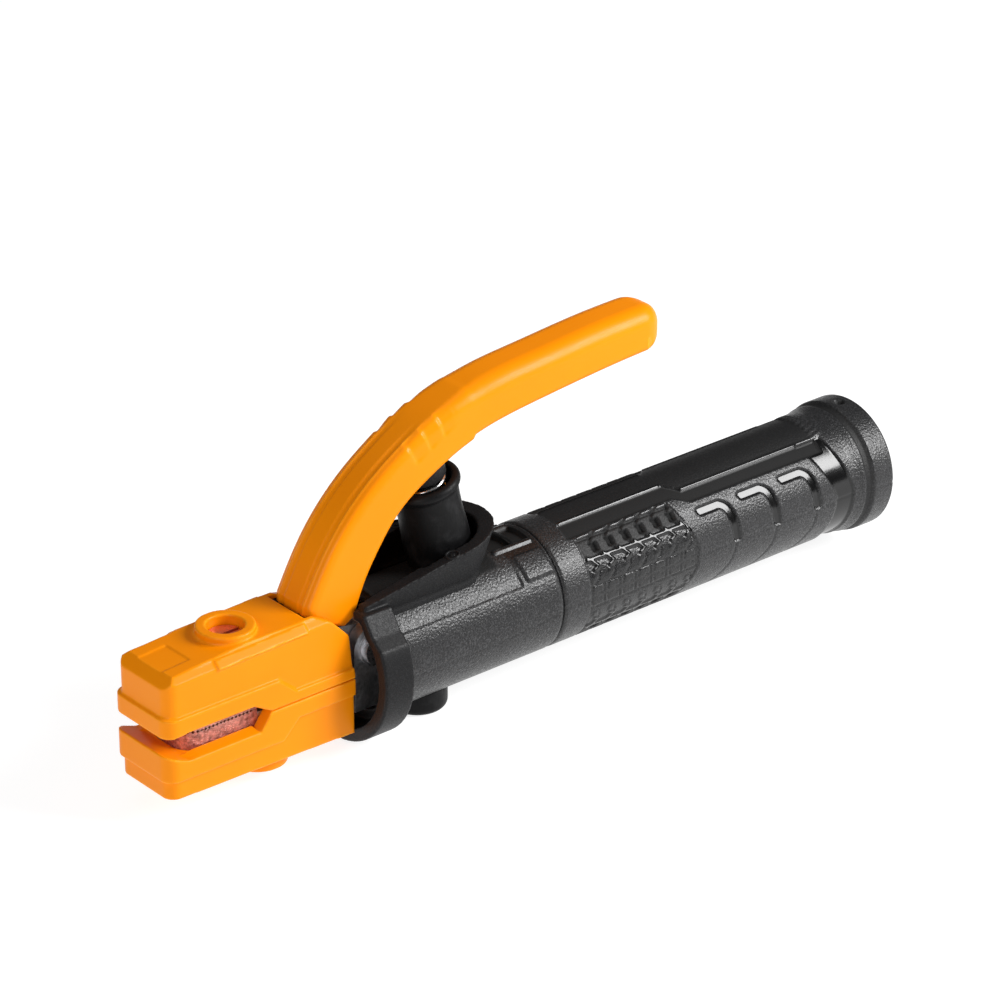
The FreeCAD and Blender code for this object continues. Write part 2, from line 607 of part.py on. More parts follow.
def core_arm():
    """Curved bar inside the cover, at fixed shares of the way from its top to its underside."""
    stations = list(zip(COVER_TOP, COVER_BOTTOM))[:CORE_STATIONS]
    lines = []
    for share in CORE_SHARES:
        lines.append([((1 - share) * top[0] + share * low[0], (1 - share) * top[1] + share * low[1])
                      for top, low in stations])
    upper, lower = lines
    y = -CORE_HALF_WIDTH
    end = Part.makePolygon([Vector(x, y, z) for x, z in (upper[-1], lower[-1])])
    front = Part.makePolygon([Vector(x, y, z) for x, z in (lower[0], upper[0])])
    edges = [spline_edge(upper, y)] + end.Edges + [spline_edge(lower, y)]
    face = Part.Face(Part.Wire(edges + front.Edges))
    return face.extrude(Vector(0, 2 * CORE_HALF_WIDTH, 0)), upper[0], lower[0]


def lever_core():
    x, z = PIVOT
    rear = UPPER_ARM_REAR_X
    jaw = rounded_bar(ARM_FRONT_X, rear, ARM_HALF_WIDTH, ARM_CORNER_R, UPPER_ARM_BOTTOM_Z, ARM_TOP_Z)
    jaw = jaw.cut(contact_seat(-5, CONTACT_DEPTH))
    arm, arm_top, arm_low = core_arm()
    root = prism_y(CORE_ROOT + [arm_top, arm_low] + CORE_HEEL, CORE_HALF_WIDTH)
    web_outline = [(rear - 1, UPPER_ARM_BOTTOM_Z + 0.2), (rear - 1, ARM_TOP_Z - 1.5),
                   (x - 2, z + KNUCKLE_R - 0.4), (x, z - KNUCKLE_R)]
    web = prism_y(web_outline, KNUCKLE_HALF_WIDTH)
    knuckle = cyl_y(KNUCKLE_R, -KNUCKLE_HALF_WIDTH, KNUCKLE_HALF_WIDTH, x, z)
    body = fused([jaw, root, web, knuckle, arm])
    body = body.cut(cyl_y(BUSH_R, -FAR, FAR, x, z))
    body = body.cut(cyl_z(JAW_SCREW_R, JAW_SCREW_TIP_Z, FAR, UPPER_BOSS_X))
    for rivet_x in RIVET_XS:
        body = body.cut(cyl_z(RIVET_R, 0, CONTACT_DEPTH + RIVET_TAIL, rivet_x))
    body = body.cut(spring_top_seat())
    return body.cut(cover_screw_shank(0))


def cover_screw_shank(low):
    return cyl_z(COVER_SCREW_R, low, COVER_SCREW_BASE_Z + COVER_SCREW_LENGTH, COVER_SCREW_X)


def lever_cover_screw():
    base, x = COVER_SCREW_BASE_Z, COVER_SCREW_X
    head = cyl_z(COVER_SCREW_HEAD_R, base - COVER_SCREW_HEAD, base, x)
    slot_top = base - COVER_SCREW_HEAD + COVER_SCREW_SLOT_DEPTH
    half = COVER_SCREW_SLOT_HALF_WIDTH
    slot = box(x - 5, x + 5, -half, half, base - 3, slot_top)
    return fused([cover_screw_shank(base), head]).cut(slot)


def lever_cover():
    body = cover_solid().cut(lever_core())
    body = body.cut(spring_top_seat())
    head_room = COVER_SCREW_HEAD_R + COVER_SCREW_HEAD_PLAY
    body = body.cut(cyl_z(head_room, 0, COVER_SCREW_BASE_Z, COVER_SCREW_X))
    body = body.cut(cover_screw_shank(0))
    return body.cut(box(JAW_FRONT_X, JAW_REAR_X + 8, -FAR, FAR, 0, COVER_LOW_Z))


PARTS = {
    "handle_grip": handle_grip,
    "front_sleeve": front_sleeve,
    "front_guard": front_guard,
    "foot_cap": foot_cap,
    "handle_lock_screw": handle_lock_screw,
    "conductor_body": conductor_body,
    "cable_clamp_shoe": shoe_solid,
    "cable_set_screws": cable_set_screws,
    "lower_jaw_contact": lambda: contact(-1),
    "lower_contact_rivets": lambda: contact_rivets(-1),
    "lower_jaw_insulator": lower_jaw_insulator,
    "lower_insulator_screw": lambda: jaw_screw(LOWER_BOSS_X, -1, LOWER_RECESS_Z),
    "spring_cup": spring_cup,
    "compression_spring": compression_spring,
    "pivot_pin": pivot_pin,
    "pivot_washers": pivot_washers,
    "pivot_clip": pivot_clip,
    "lever_core": lever_core,
    "pivot_bushing": pivot_bushing,
    "upper_jaw_contact": lambda: contact(1),
    "upper_contact_rivets": lambda: contact_rivets(1),
    "upper_jaw_insulator": upper_jaw_insulator,
    "upper_insulator_screw": lambda: jaw_screw(UPPER_BOSS_X, 1, UPPER_RECESS_Z),
    "lever_cover": lever_cover,
    "lever_cover_screw": lever_cover_screw,
    "spring_top_seat": spring_top_seat,
}

os.makedirs("parts", exist_ok=True)
for node, make in PARTS.items():
    solid = make()
    assert solid.isValid(), node
    solid.exportStep("parts/" + node + ".step")
    print(node, len(solid.Solids), "solids", round(solid.Volume / 1000, 2), "cm3")
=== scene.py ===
import bpy
import bmesh
import math
import numpy as np
from mathutils import Matrix, Vector


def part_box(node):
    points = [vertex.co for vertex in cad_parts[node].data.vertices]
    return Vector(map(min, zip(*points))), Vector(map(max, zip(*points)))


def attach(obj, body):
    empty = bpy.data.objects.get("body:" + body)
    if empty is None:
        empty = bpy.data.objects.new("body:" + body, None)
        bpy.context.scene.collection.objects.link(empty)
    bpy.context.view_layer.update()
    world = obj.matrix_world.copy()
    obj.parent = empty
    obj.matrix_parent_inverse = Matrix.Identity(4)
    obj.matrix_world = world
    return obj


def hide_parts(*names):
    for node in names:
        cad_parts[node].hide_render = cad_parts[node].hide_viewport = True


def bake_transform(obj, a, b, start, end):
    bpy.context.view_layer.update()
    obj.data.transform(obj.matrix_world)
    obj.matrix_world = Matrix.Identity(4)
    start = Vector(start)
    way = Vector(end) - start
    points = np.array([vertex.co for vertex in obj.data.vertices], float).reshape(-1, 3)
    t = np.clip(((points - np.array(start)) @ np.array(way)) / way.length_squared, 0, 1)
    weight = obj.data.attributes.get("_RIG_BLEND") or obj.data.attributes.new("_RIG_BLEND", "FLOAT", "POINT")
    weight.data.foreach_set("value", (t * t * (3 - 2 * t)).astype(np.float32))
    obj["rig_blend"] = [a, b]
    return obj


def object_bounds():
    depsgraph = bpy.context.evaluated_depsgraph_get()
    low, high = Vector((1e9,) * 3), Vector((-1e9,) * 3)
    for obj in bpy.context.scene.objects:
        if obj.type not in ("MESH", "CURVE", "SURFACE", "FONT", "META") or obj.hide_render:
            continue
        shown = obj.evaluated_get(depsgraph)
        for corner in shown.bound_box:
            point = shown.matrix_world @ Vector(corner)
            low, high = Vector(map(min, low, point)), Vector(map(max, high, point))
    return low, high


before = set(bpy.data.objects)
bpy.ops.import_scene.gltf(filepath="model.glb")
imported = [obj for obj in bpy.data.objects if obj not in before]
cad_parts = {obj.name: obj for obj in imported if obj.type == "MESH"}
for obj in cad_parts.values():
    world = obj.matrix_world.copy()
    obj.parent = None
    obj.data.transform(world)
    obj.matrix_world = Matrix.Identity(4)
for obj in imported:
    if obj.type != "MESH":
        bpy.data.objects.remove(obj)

# Looks of the electrode holder. Geometry is worked out in millimetres in the frame of the CAD model
# (X along the handle, rear face at 0, Z up) and scaled to metres when each mesh is made.

MM = 0.001
CAD_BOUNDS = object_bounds()


def node_box(node):
    """Lowest and highest corner of a CAD node, in millimetres."""
    low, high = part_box(node)
    return np.array(low) / MM, np.array(high) / MM


GRIP_LOW, GRIP_HIGH = node_box("handle_grip")
SLEEVE_LOW, SLEEVE_HIGH = node_box("front_sleeve")
JAW_LOW, JAW_HIGH = node_box("upper_jaw_insulator")
COVER_HIGH = node_box("lever_cover")[1]
FLOOR_Z = node_box("foot_cap")[0][2]

GRIP_R = SLEEVE_HIGH[1]
GRIP_FRONT = GRIP_LOW[0]
GRIP_REAR = GRIP_HIGH[0]
FLARE_RISE = GRIP_HIGH[1] - GRIP_R
SLEEVE_FRONT = SLEEVE_LOW[0]
JAW_HALF = JAW_HIGH[1]
JAW_FRONT = JAW_LOW[0]
COVER_HALF = COVER_HIGH[1]
EDGE = 0.36
SIDE_NAMES = {-1: "_near", 1: "_far"}


# ---------------- shape functions
# The last number in a call of inside or stroke is the width of the soft edge, in millimetres.

def rise(low, high, value):
    """0 below low, 1 above high, and a smooth step between them."""
    t = np.clip((value - low) / (high - low), 0, 1)
    return t * t * (3 - 2 * t)


def inside(low, high, value, soft=EDGE):
    """1 between low and high, 0 outside, with edges of width soft."""
    half = soft / 2
    return rise(low - half, low + half, value) * (1 - rise(high - half, high + half, value))


def path_distance(x, s, points):
    """Distance of each (x, s) from a line through the points."""
    best = np.full(np.broadcast(x, s).shape, 1e9)
    for (ax, a_s), (bx, b_s) in zip(points, points[1:]):
        dx, ds = bx - ax, b_s - a_s
        share = np.clip(((x - ax) * dx + (s - a_s) * ds) / (dx * dx + ds * ds), 0, 1)
        best = np.minimum(best, np.hypot(x - ax - share * dx, s - a_s - share * ds))
    return best


def stroke(x, s, points, width, soft=EDGE):
    """1 on a line of that width through the points, 0 off it."""
    return 1 - rise(width / 2 - soft / 2, width / 2 + soft / 2, path_distance(x, s, points))


def shifted(points, x):
    """Outline points moved along the handle."""
    return [(point_x + x, point_s) for point_x, point_s in points]


def spline(points, count):
    """Natural cubic curve through points of any dimension, read at count even steps of chord length."""
    p = np.array(points, float)
    t = np.concatenate([[0], np.cumsum(np.linalg.norm(np.diff(p, axis=0), axis=1))])
    n, h = len(t), np.diff(t)
    a, b = np.eye(n), np.zeros_like(p)
    for i in range(1, n - 1):
        a[i, i - 1:i + 2] = h[i - 1], 2 * (h[i - 1] + h[i]), h[i]
        b[i] = 6 * ((p[i + 1] - p[i]) / h[i] - (p[i] - p[i - 1]) / h[i - 1])
    m = np.linalg.solve(a, b)
    u = np.linspace(0, t[-1], count)
    k = np.clip(np.searchsorted(t, u, side="right") - 1, 0, n - 2)
    w, left, right = h[k][:, None], (t[k + 1] - u)[:, None], (u - t[k])[:, None]
    curved = (m[k] * left ** 3 + m[k + 1] * right ** 3) / (6 * w)
    return curved + (p[k] / w - m[k] * w / 6) * left + (p[k + 1] / w - m[k + 1] * w / 6) * right


def steps(*runs):
    """Values joined from (start, end, step) runs."""
    parts = [np.linspace(a, b, max(2, round(abs(b - a) / step) + 1))[:-1] for a, b, step in runs]
    return np.concatenate(parts + [[runs[-1][1]]])


# ---------------- mesh makers

def new_object(name, points, faces, smooth=True):
    """Object from points in millimetres and faces of point numbers."""
    mesh = bpy.data.meshes.new(name)
    mesh.from_pydata((np.asarray(points, float) * MM).tolist(), [], [list(f) for f in faces])
    mesh.polygons.foreach_set("use_smooth", [smooth] * len(mesh.polygons))
    mesh.update()
    obj = bpy.data.objects.new(name, mesh)
    bpy.context.scene.collection.objects.link(obj)
    return obj


def grid_faces(rows, columns, close_rows):
    """Quads of a grid whose columns wrap round; its rows wrap too if close_rows."""
    i = np.arange(rows if close_rows else rows - 1)[:, None]
    j = np.arange(columns)[None, :]
    i2, j2 = (i + 1) % rows, (j + 1) % columns
    corners = [i * columns + j, i * columns + j2, i2 * columns + j2, i2 * columns + j]
    return np.stack(corners, -1).reshape(-1, 4)


def tube_object(name, angles, outer_x, outer_r, inner_profile):
    """Tube about X: a relief of radii outside and a plain (x, radius) profile inside, in one skin."""
    inner = np.array(inner_profile, float)
    x = np.concatenate([outer_x, inner[:, 0]])[:, None] + np.zeros(len(angles))
    r = np.vstack([outer_r, np.repeat(inner[:, 1:], len(angles), axis=1)])
    points = np.stack([x, -r * np.cos(angles), r * np.sin(angles)], -1).reshape(-1, 3)
    return new_object(name, points, grid_faces(len(x), len(angles), True)[:, ::-1])


def lathe_object(name, profile, columns, place):
    """Closed solid of revolution from a closed (radius, height) profile, placed by a function."""
    angles = np.linspace(0, 2 * math.pi, columns, endpoint=False)
    p = np.array(profile, float)
    points = np.stack([p[:, :1] * np.cos(angles), p[:, :1] * np.sin(angles),
                       p[:, 1:] + np.zeros(columns)], -1).reshape(-1, 3)
    return new_object(name, place(points), grid_faces(len(p), columns, True))


def wire_object(name, centre, radius, sides, place):
    """Round wire along a line of centre points, with rounded ends."""
    c = np.array(centre, float)
    along = np.gradient(c, axis=0)
    along /= np.linalg.norm(along, axis=1)[:, None]
    side = np.cross(along, [0, 0, 1.0])
    side /= np.linalg.norm(side, axis=1)[:, None]
    up = np.cross(side, along)
    turn = np.linspace(0, 2 * math.pi, sides, endpoint=False)
    spokes = side[:, None] * np.cos(turn)[:, None] + up[:, None] * np.sin(turn)[:, None]
    rings = c[:, None] + radius * spokes
    tip = radius / 3
    points = np.vstack([rings.reshape(-1, 3), c[:1] - along[:1] * tip, c[-1:] + along[-1:] * tip])
    faces = grid_faces(len(c), sides, False).tolist()
    last = (len(c) - 1) * sides
    for k in range(sides):
        faces.append([len(points) - 2, (k + 1) % sides, k])
        faces.append([len(points) - 1, last + k, last + (k + 1) % sides])
    return new_object(name, place(points), faces)


def extruded(name, outline, axis, low, high):
    """Prism of a closed outline along axis 0, 1 or 2; the outline holds the other two coordinates."""
    n = len(outline)
    points = []
    for level in (low, high):
        for a, b in outline:
            points.append(np.insert([a, b], axis, level))
    faces = [list(range(n)), list(range(2 * n - 1, n - 1, -1))]
    faces += [[k, n + k, n + (k + 1) % n, (k + 1) % n] for k in range(n)]
    obj = new_object(name, points, faces, smooth=False)
    fix_normals(obj)
    return obj


def rod(name, centre, radius, axis, low, high, sides=64):
    """Cylinder along an axis; centre holds the other two coordinates in order."""
    turn = np.linspace(0, 2 * math.pi, sides, endpoint=False)
    outline = [(centre[0] + radius * math.cos(t), centre[1] + radius * math.sin(t)) for t in turn]
    return extruded(name, outline, axis, low, high)


def fix_normals(obj):
    mesh = bmesh.new()
    mesh.from_mesh(obj.data)
    bmesh.ops.recalc_face_normals(mesh, faces=mesh.faces)
    mesh.to_mesh(obj.data)
    mesh.free()


def cad_copy(node, name):
    """Editable copy of a CAD node's mesh with its doubled points merged."""
    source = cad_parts[node].data
    mesh = bmesh.new()
    mesh.from_mesh(source)
    bmesh.ops.remove_doubles(mesh, verts=mesh.verts, dist=1e-6)
    bmesh.ops.recalc_face_normals(mesh, faces=mesh.faces)
    made = bpy.data.meshes.new(name)
    mesh.to_mesh(made)
    mesh.free()
    for attribute in [a.name for a in made.attributes if a.name == "custom_normal"]:
        made.attributes.remove(made.attributes[attribute])
    obj = bpy.data.objects.new(name, made)
    bpy.context.scene.collection.objects.link(obj)
    return obj


def settle(obj):
    """Apply an object's modifiers."""
    bpy.context.view_layer.update()
    shown = obj.evaluated_get(bpy.context.evaluated_depsgraph_get())
    mesh = bpy.data.meshes.new_from_object(shown)
    obj.modifiers.clear()
    obj.data = mesh


def combine(obj, tools, operation):
    """Boolean of obj with each tool, which is then deleted."""
    for tool in tools:
        step = obj.modifiers.new("combine", "BOOLEAN")
        step.solver = "EXACT"
        step.operation = operation
        step.object = tool
        settle(obj)
        bpy.data.objects.remove(tool)


def soften(obj, voxel, rounds):
    """Even out a solid into one skin of small faces with softened edges, as moulded plastic has."""
    remesh = obj.modifiers.new("even", "REMESH")
    remesh.mode = "VOXEL"
    remesh.voxel_size = voxel * MM
    smooth = obj.modifiers.new("soften", "SMOOTH")
    smooth.factor = 0.5
    smooth.iterations = rounds
    settle(obj)
    obj.data.polygons.foreach_set("use_smooth", [True] * len(obj.data.polygons))


def add_mask(obj, name, values):
    """Store one number per point for a material to read. Points past the last value get 0."""
    mask = obj.data.attributes.new(name, "FLOAT", "POINT")
    filled = np.zeros(len(obj.data.vertices), np.float32)
    filled[:values.size] = values.ravel()
    mask.data.foreach_set("value", filled)


def show(obj, body, slot, material, *nodes):
    """Give a finished piece its material and its body, and hide the CAD nodes that it stands for. The slot
    is not used.
    """
    obj.data.materials.clear()
    obj.data.materials.append(material)
    if body:
        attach(obj, body)
    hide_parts(*nodes)


def dress(material, *nodes):
    """Give CAD nodes that stay in view a material."""
    for node in nodes:
        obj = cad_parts[node]
        if not obj.material_slots:
            obj.data.materials.append(material)
        for place in obj.material_slots:
            place.material = material


# ---------------- materials

def add(tree, kind, values=(), links=(), **settings):
    """Shader node with its input values, its incoming links and its settings."""
    node = tree.nodes.new(kind)
    for key, value in settings.items():
        setattr(node, key, value)
    for key, value in dict(values).items():
        node.inputs[key].default_value = value
    for key, source in dict(links).items():
        tree.links.new(source, node.inputs[key])
    return node


def noise(tree, place, scale, detail=3.0, rough=0.55):
    """Noise whose scale is in features per millimetre."""
    return add(tree, "ShaderNodeTexNoise", {"Scale": scale / MM, "Detail": detail, "Roughness": rough},
               {"Vector": place}).outputs[0]


def cells(tree, place, scale):
    """Rounded cells, for pebbled plastic, whose scale is in cells per millimetre."""
    return add(tree, "ShaderNodeTexVoronoi", {"Scale": scale / MM, "Smoothness": 0.6}, {"Vector": place},
               feature="SMOOTH_F1").outputs[0]


def spread(tree, source, low, high, out_low, out_high):
    ends = {1: low, 2: high, 3: out_low, 4: out_high}
    return add(tree, "ShaderNodeMapRange", ends, {0: source}).outputs[0]


def blend_colour(tree, share, first, second):
    """Mix of two colours, each a colour or a socket."""
    mix = add(tree, "ShaderNodeMix", links={0: share}, data_type="RGBA")
    for index, colour in ((6, first), (7, second)):
        if isinstance(colour, bpy.types.NodeSocket):
            tree.links.new(colour, mix.inputs[index])
        else:
            mix.inputs[index].default_value = (*colour, 1)
    return mix.outputs[2]


def blend_value(tree, share, first, second):
    mix = add(tree, "ShaderNodeMix", links={0: share}, data_type="FLOAT")
    for index, value in ((2, first), (3, second)):
        if isinstance(value, bpy.types.NodeSocket):
            tree.links.new(value, mix.inputs[index])
        else:
            mix.inputs[index].default_value = value
    return mix.outputs[0]


def bump(tree, height, depth, strength=1.0, normal=None):
    """Surface relief of depth millimetres."""
    node = add(tree, "ShaderNodeBump", {"Strength": 1.0, "Distance": depth * MM}, {"Height": height})
    if isinstance(strength, bpy.types.NodeSocket):
        tree.links.new(strength, node.inputs["Strength"])
    else:
        node.inputs["Strength"].default_value = strength
    if normal is not None:
        tree.links.new(normal, node.inputs["Normal"])
    return node.outputs[0]


def pale_edge_share(tree, radius, place, amount):
    """Share of paler edge colour: high on sharp outer edges, broken up by noise."""
    soft = add(tree, "ShaderNodeBevel", {"Radius": radius * MM}, samples=4).outputs[0]
    true = add(tree, "ShaderNodeNewGeometry").outputs["Normal"]
    same = add(tree, "ShaderNodeVectorMath", links={0: soft, 1: true}, operation="DOT_PRODUCT")
    edge = spread(tree, same.outputs["Value"], 0.995, 0.90, 0.0, amount)
    broken = spread(tree, noise(tree, place, 0.35, 4.0), 0.35, 0.65, 0.2, 1.0)
    return add(tree, "ShaderNodeMath", links={0: edge, 1: broken}, operation="MULTIPLY").outputs[0]


def start_material(name, metallic=0.0, level=0.5, coat=0.0, coat_rough=0.1):
    material = bpy.data.materials.new(name)
    material.use_nodes = True
    tree = material.node_tree
    shader = tree.nodes["Principled BSDF"]
    shader.inputs["Metallic"].default_value = metallic
    shader.inputs["Specular IOR Level"].default_value = level
    shader.inputs["Coat Weight"].default_value = coat
    shader.inputs["Coat Roughness"].default_value = coat_rough
    place = add(tree, "ShaderNodeTexCoord").outputs["Object"]
    return material, tree, shader, place


def finish_material(tree, shader, colour, rough, normal):
    tree.links.new(colour, shader.inputs["Base Color"])
    tree.links.new(rough, shader.inputs["Roughness"])
    tree.links.new(normal, shader.inputs["Normal"])


def grained_plastic(name, grain_size, grain_depth, base, worn, grain_rough, smooth_rough, level=0.7):
    """Black moulded plastic: pebbled grain where the finish mask is 0, polished where it is 1, and dull and
    dark where the shade mask is 1: painted shade in recesses, on the top panel and on the tray floor, and a
    darker upper row on the tread."""
    material, tree, shader, place = start_material(name, level=level)
    finish = add(tree, "ShaderNodeAttribute", attribute_name="finish").outputs["Fac"]
    shade = add(tree, "ShaderNodeAttribute", attribute_name="shade").outputs["Fac"]
    clouds = noise(tree, place, 0.05, 4.0)
    cloudy = blend_colour(tree, spread(tree, clouds, 0.3, 0.7, 0.0, 1.0), base, [c * 1.35 for c in base])
    grain = cells(tree, place, 1.0 / grain_size)
    fine = noise(tree, place, 1.5 / grain_size, 2.0)
    peaks = spread(tree, fine, 0.48, 0.66, 0.0, 0.8)
    speckled = blend_colour(tree, peaks, cloudy, worn)
    colour = blend_colour(tree, finish, speckled, [c * 0.25 for c in base])
    colour = blend_colour(tree, pale_edge_share(tree, 0.5, place, 0.6), colour, worn)
    # Painted shade: the shade mask darkens the colour and dulls the surface.
    colour = blend_colour(tree, shade, colour, [c * 0.15 for c in base])
    speck = spread(tree, fine, 0.3, 0.7, 0.12, -0.14)
    grained = add(tree, "ShaderNodeMath", {1: grain_rough}, {0: speck}, operation="ADD").outputs[0]
    polished = spread(tree, clouds, 0.3, 0.7, smooth_rough - 0.03, smooth_rough + 0.05)
    rough = blend_value(tree, finish, grained, polished)
    rough = blend_value(tree, shade, rough, 0.85)
    depth = blend_value(tree, finish, 1.0, 0.04)
    normal = bump(tree, grain, grain_depth, depth)
    normal = bump(tree, fine, grain_depth * 0.8, depth, normal)
    normal = bump(tree, noise(tree, place, 0.12, 2.0), 0.02, 0.4, normal)
    finish_material(tree, shader, colour, rough, normal)
    return material


def glossy_plastic(name, base, deep, pale, rough):
    """Coloured plastic with faint flow marks, fine scratches and paler edges, partly worn and partly a
    painted highlight.
    """
    material, tree, shader, place = start_material(name, level=0.12, coat=0.03, coat_rough=0.15)
    clouds = noise(tree, place, 0.03, 4.0)
    shade = blend_colour(tree, spread(tree, clouds, 0.3, 0.7, 0.0, 0.6), base, deep)
    # Paler edges: wear, and a painted highlight along the edges.
    colour = blend_colour(tree, pale_edge_share(tree, 1.0, place, 0.9), shade, pale)
    stretched = add(tree, "ShaderNodeMapping", {"Scale": (0.25, 3.0, 1.2)}, {"Vector": place}).outputs[0]
    scratches = noise(tree, stretched, 0.9, 5.0, 0.7)
    rough_map = spread(tree, scratches, 0.35, 0.7, rough - 0.05, rough + 0.12)
    normal = bump(tree, noise(tree, place, 0.10, 2.0), 0.06, 0.6)
    normal = bump(tree, noise(tree, place, 3.5, 2.0), 0.004, 0.8, normal)
    normal = bump(tree, scratches, 0.006, 0.5, normal)
    finish_material(tree, shader, colour, rough_map, normal)
    return material


def rubber(name, base, dusty):
    """Soft black rubber with fine scuffs and a dusty bloom."""
    material, tree, shader, place = start_material(name, level=0.15)
    bloom = noise(tree, place, 0.22, 5.0, 0.6)
    colour = blend_colour(tree, spread(tree, bloom, 0.52, 0.78, 0.0, 1.0), base, dusty)
    stretched = add(tree, "ShaderNodeMapping", {"Scale": (2.5, 2.5, 0.35)}, {"Vector": place}).outputs[0]
    scuffs = noise(tree, stretched, 1.1, 6.0, 0.7)
    rough = spread(tree, scuffs, 0.3, 0.7, 0.34, 0.62)
    normal = bump(tree, scuffs, 0.035, 0.7)
    normal = bump(tree, noise(tree, place, 4.0, 2.0), 0.008, 0.8, normal)
    finish_material(tree, shader, colour, rough, normal)
    return material


def metal(name, base, dark, rough, grain, depth, stretch=(1, 1, 1), bright=None, stains=0.25):
    """Metal with stained hollows, a rough or brushed surface and brighter worn edges."""
    material, tree, shader, place = start_material(name, metallic=1.0)
    stretched = add(tree, "ShaderNodeMapping", {"Scale": stretch}, {"Vector": place}).outputs[0]
    surface = noise(tree, stretched, grain, 6.0, 0.65)
    stain = noise(tree, place, stains, 5.0, 0.6)
    shade = blend_colour(tree, spread(tree, stain, 0.35, 0.7, 0.0, 0.8), base, dark)
    colour = blend_colour(tree, pale_edge_share(tree, 0.3, place, 0.8), shade, bright or base)
    rough_map = spread(tree, surface, 0.3, 0.7, rough - 0.1, rough + 0.12)
    normal = bump(tree, surface, depth)
    finish_material(tree, shader, colour, rough_map, normal)
    return material


BLACK = (0.007, 0.007, 0.0075)
BLACK_PEAK = (0.05, 0.05, 0.052)
GRIP_PLASTIC = grained_plastic("grip_plastic", 0.62, 0.10, BLACK, BLACK_PEAK, 0.36, 0.16, 0.44)
SLEEVE_PLASTIC = grained_plastic("sleeve_plastic", 0.70, 0.10, BLACK, BLACK_PEAK, 0.36, 0.28, 0.36)
GUARD_PLASTIC = grained_plastic("guard_plastic", 0.5, 0.006, (0.006, 0.006, 0.0065), (0.02, 0.02, 0.021),
                                0.46, 0.36, 0.15)
BOOT_RUBBER = rubber("boot_rubber", (0.003, 0.003, 0.0033), (0.016, 0.016, 0.017))
ORANGE = glossy_plastic("orange_plastic", (0.92, 0.27, 0.0), (0.88, 0.235, 0.0), (1.0, 0.50, 0.03), 0.34)
COPPER = metal("contact_copper", (0.80, 0.40, 0.34), (0.10, 0.035, 0.03), 0.40, 1.6, 0.30,
               (1.0, 1.8, 1.8), (1.0, 0.72, 0.66), 0.8)
COPPER_SCREW = metal("screw_copper", (0.90, 0.46, 0.36), (0.62, 0.27, 0.20), 0.34, 1.4, 0.02,
                     bright=(1.0, 0.66, 0.56))
CAST_METAL = metal("cast_metal", (0.62, 0.62, 0.63), (0.22, 0.22, 0.23), 0.42, 0.8, 0.16,
                   bright=(0.9, 0.9, 0.9))
STEEL = metal("zinc_steel", (0.66, 0.66, 0.68), (0.40, 0.40, 0.42), 0.32, 1.2, 0.012,
              bright=(0.9, 0.9, 0.92))
SPRING_STEEL = metal("spring_steel", (0.80, 0.80, 0.80), (0.55, 0.55, 0.56), 0.22, 1.6, 0.006,
                     bright=(0.95, 0.95, 0.95))
BRASS = metal("bush_brass", (0.80, 0.58, 0.26), (0.45, 0.30, 0.12), 0.32, 1.0, 0.012,
              bright=(0.95, 0.78, 0.45))


# ---------------- handle grip

# Places along the handle are X in millimetres. Places round it are degrees above the parting plane, or s,
# the distance round the grip from that plane in millimetres.
PANEL_FRONT = -118.0
PANEL_REAR = -22.5
PANEL_BREAK = (-79.0, -74.5)
PANEL_BORDER = (76, 63)
PANEL_DEPTH = 0.12
CHANNEL_X = (PANEL_FRONT, -82, -79, -74, -30)
CHANNEL_DEGREES = (58, 59, 59, 50, 49)
CHANNEL_DEPTH = 0.75
RIDGE_RUNS = ((PANEL_FRONT + 0.8, -79.4), (-75.2, -23.0))
RIDGE_HEIGHT = 0.4
RIDGE_WIDTH = (-0.15, 0.6)

TREAD_FRONT = -116.4
TREAD_REAR = (-76.4, -82.0)
TREAD_TOP_S = 18.3
TREAD_DEPTH = 0.22
RAIL_S = (17.75, 18.35)
UNDER_RAIL_S = (16.85, 17.45)
COMB_S = (10.9, 10.5)
COMB_REAR = -79.6
COMB_WIDTH = 1.1
COMB_HEIGHT = 0.42
HOOK_COUNT = 7
HOOK_FIRST = TREAD_FRONT + 2.1
HOOK_PITCH = 5.75
HOOK = [(-1.0, 11.5), (0.0, 10.6), (1.9, 8.4), (0.2, 7.8)]
HOOK_PAD_X = (-0.3, 1.8)
HOOK_PAD_S = (5.2, 7.2)
HOOK_PAD_HEIGHT = 0.22
THIN_WIDTH = 0.45
THIN_DEPTH = 0.32
THIN_DIAGONAL = [(1.9, 7.0), (0.9, 4.9), (-1.4, 3.0), (-1.9, 1.2)]
THIN_CORNER = [(2.6, 2.6), (2.6, 0.8), (0.8, 0.8)]
THIN_LINE_S = (3.4, 3.1)
PIT_OFFSET = 1.9
PIT_LENGTH = 2.4
PIT_S = (12.7, 15.4)
PIT_DEPTH = 1.3
CUT_DEPTH = 0.62
CHEVRON = [(3.1, 18.4), (1.1, 17.0), (-0.1, 15.2)]
CHEVRON_WIDTH = 0.85
CHEVRON_TAIL = [(0.2, 13.4), (2.2, 11.5)]
CHEVRON_TAIL_WIDTH = 0.6
UPPER_ROW_S = (11.6, 17.6)
RIM_WIDTH = 0.55
RIM_DEPTH = 0.3

NOTCH_STARTS = [-73.9, -58.1, -42.2]
NOTCH_S = 12.4
NOTCH_LEG = [(1.2, NOTCH_S), (8.4, NOTCH_S)]
NOTCH_BEND = [(8.4, NOTCH_S), (10.2, 11.2), (12.0, 5.6), (12.6, 0.5)]
NOTCH_TAIL = [(12.0, 0.2), (11.4, -5.0), (9.0, -11.0), (6.0, -17.0)]
NOTCH_WIDTH = 2.8
NOTCH_DEPTH = 0.6
NOTCH_SLANT = 0.55
NOTCH_TAIL_WIDTH = 0.6
NOTCH_TAIL_DEPTH = 0.3

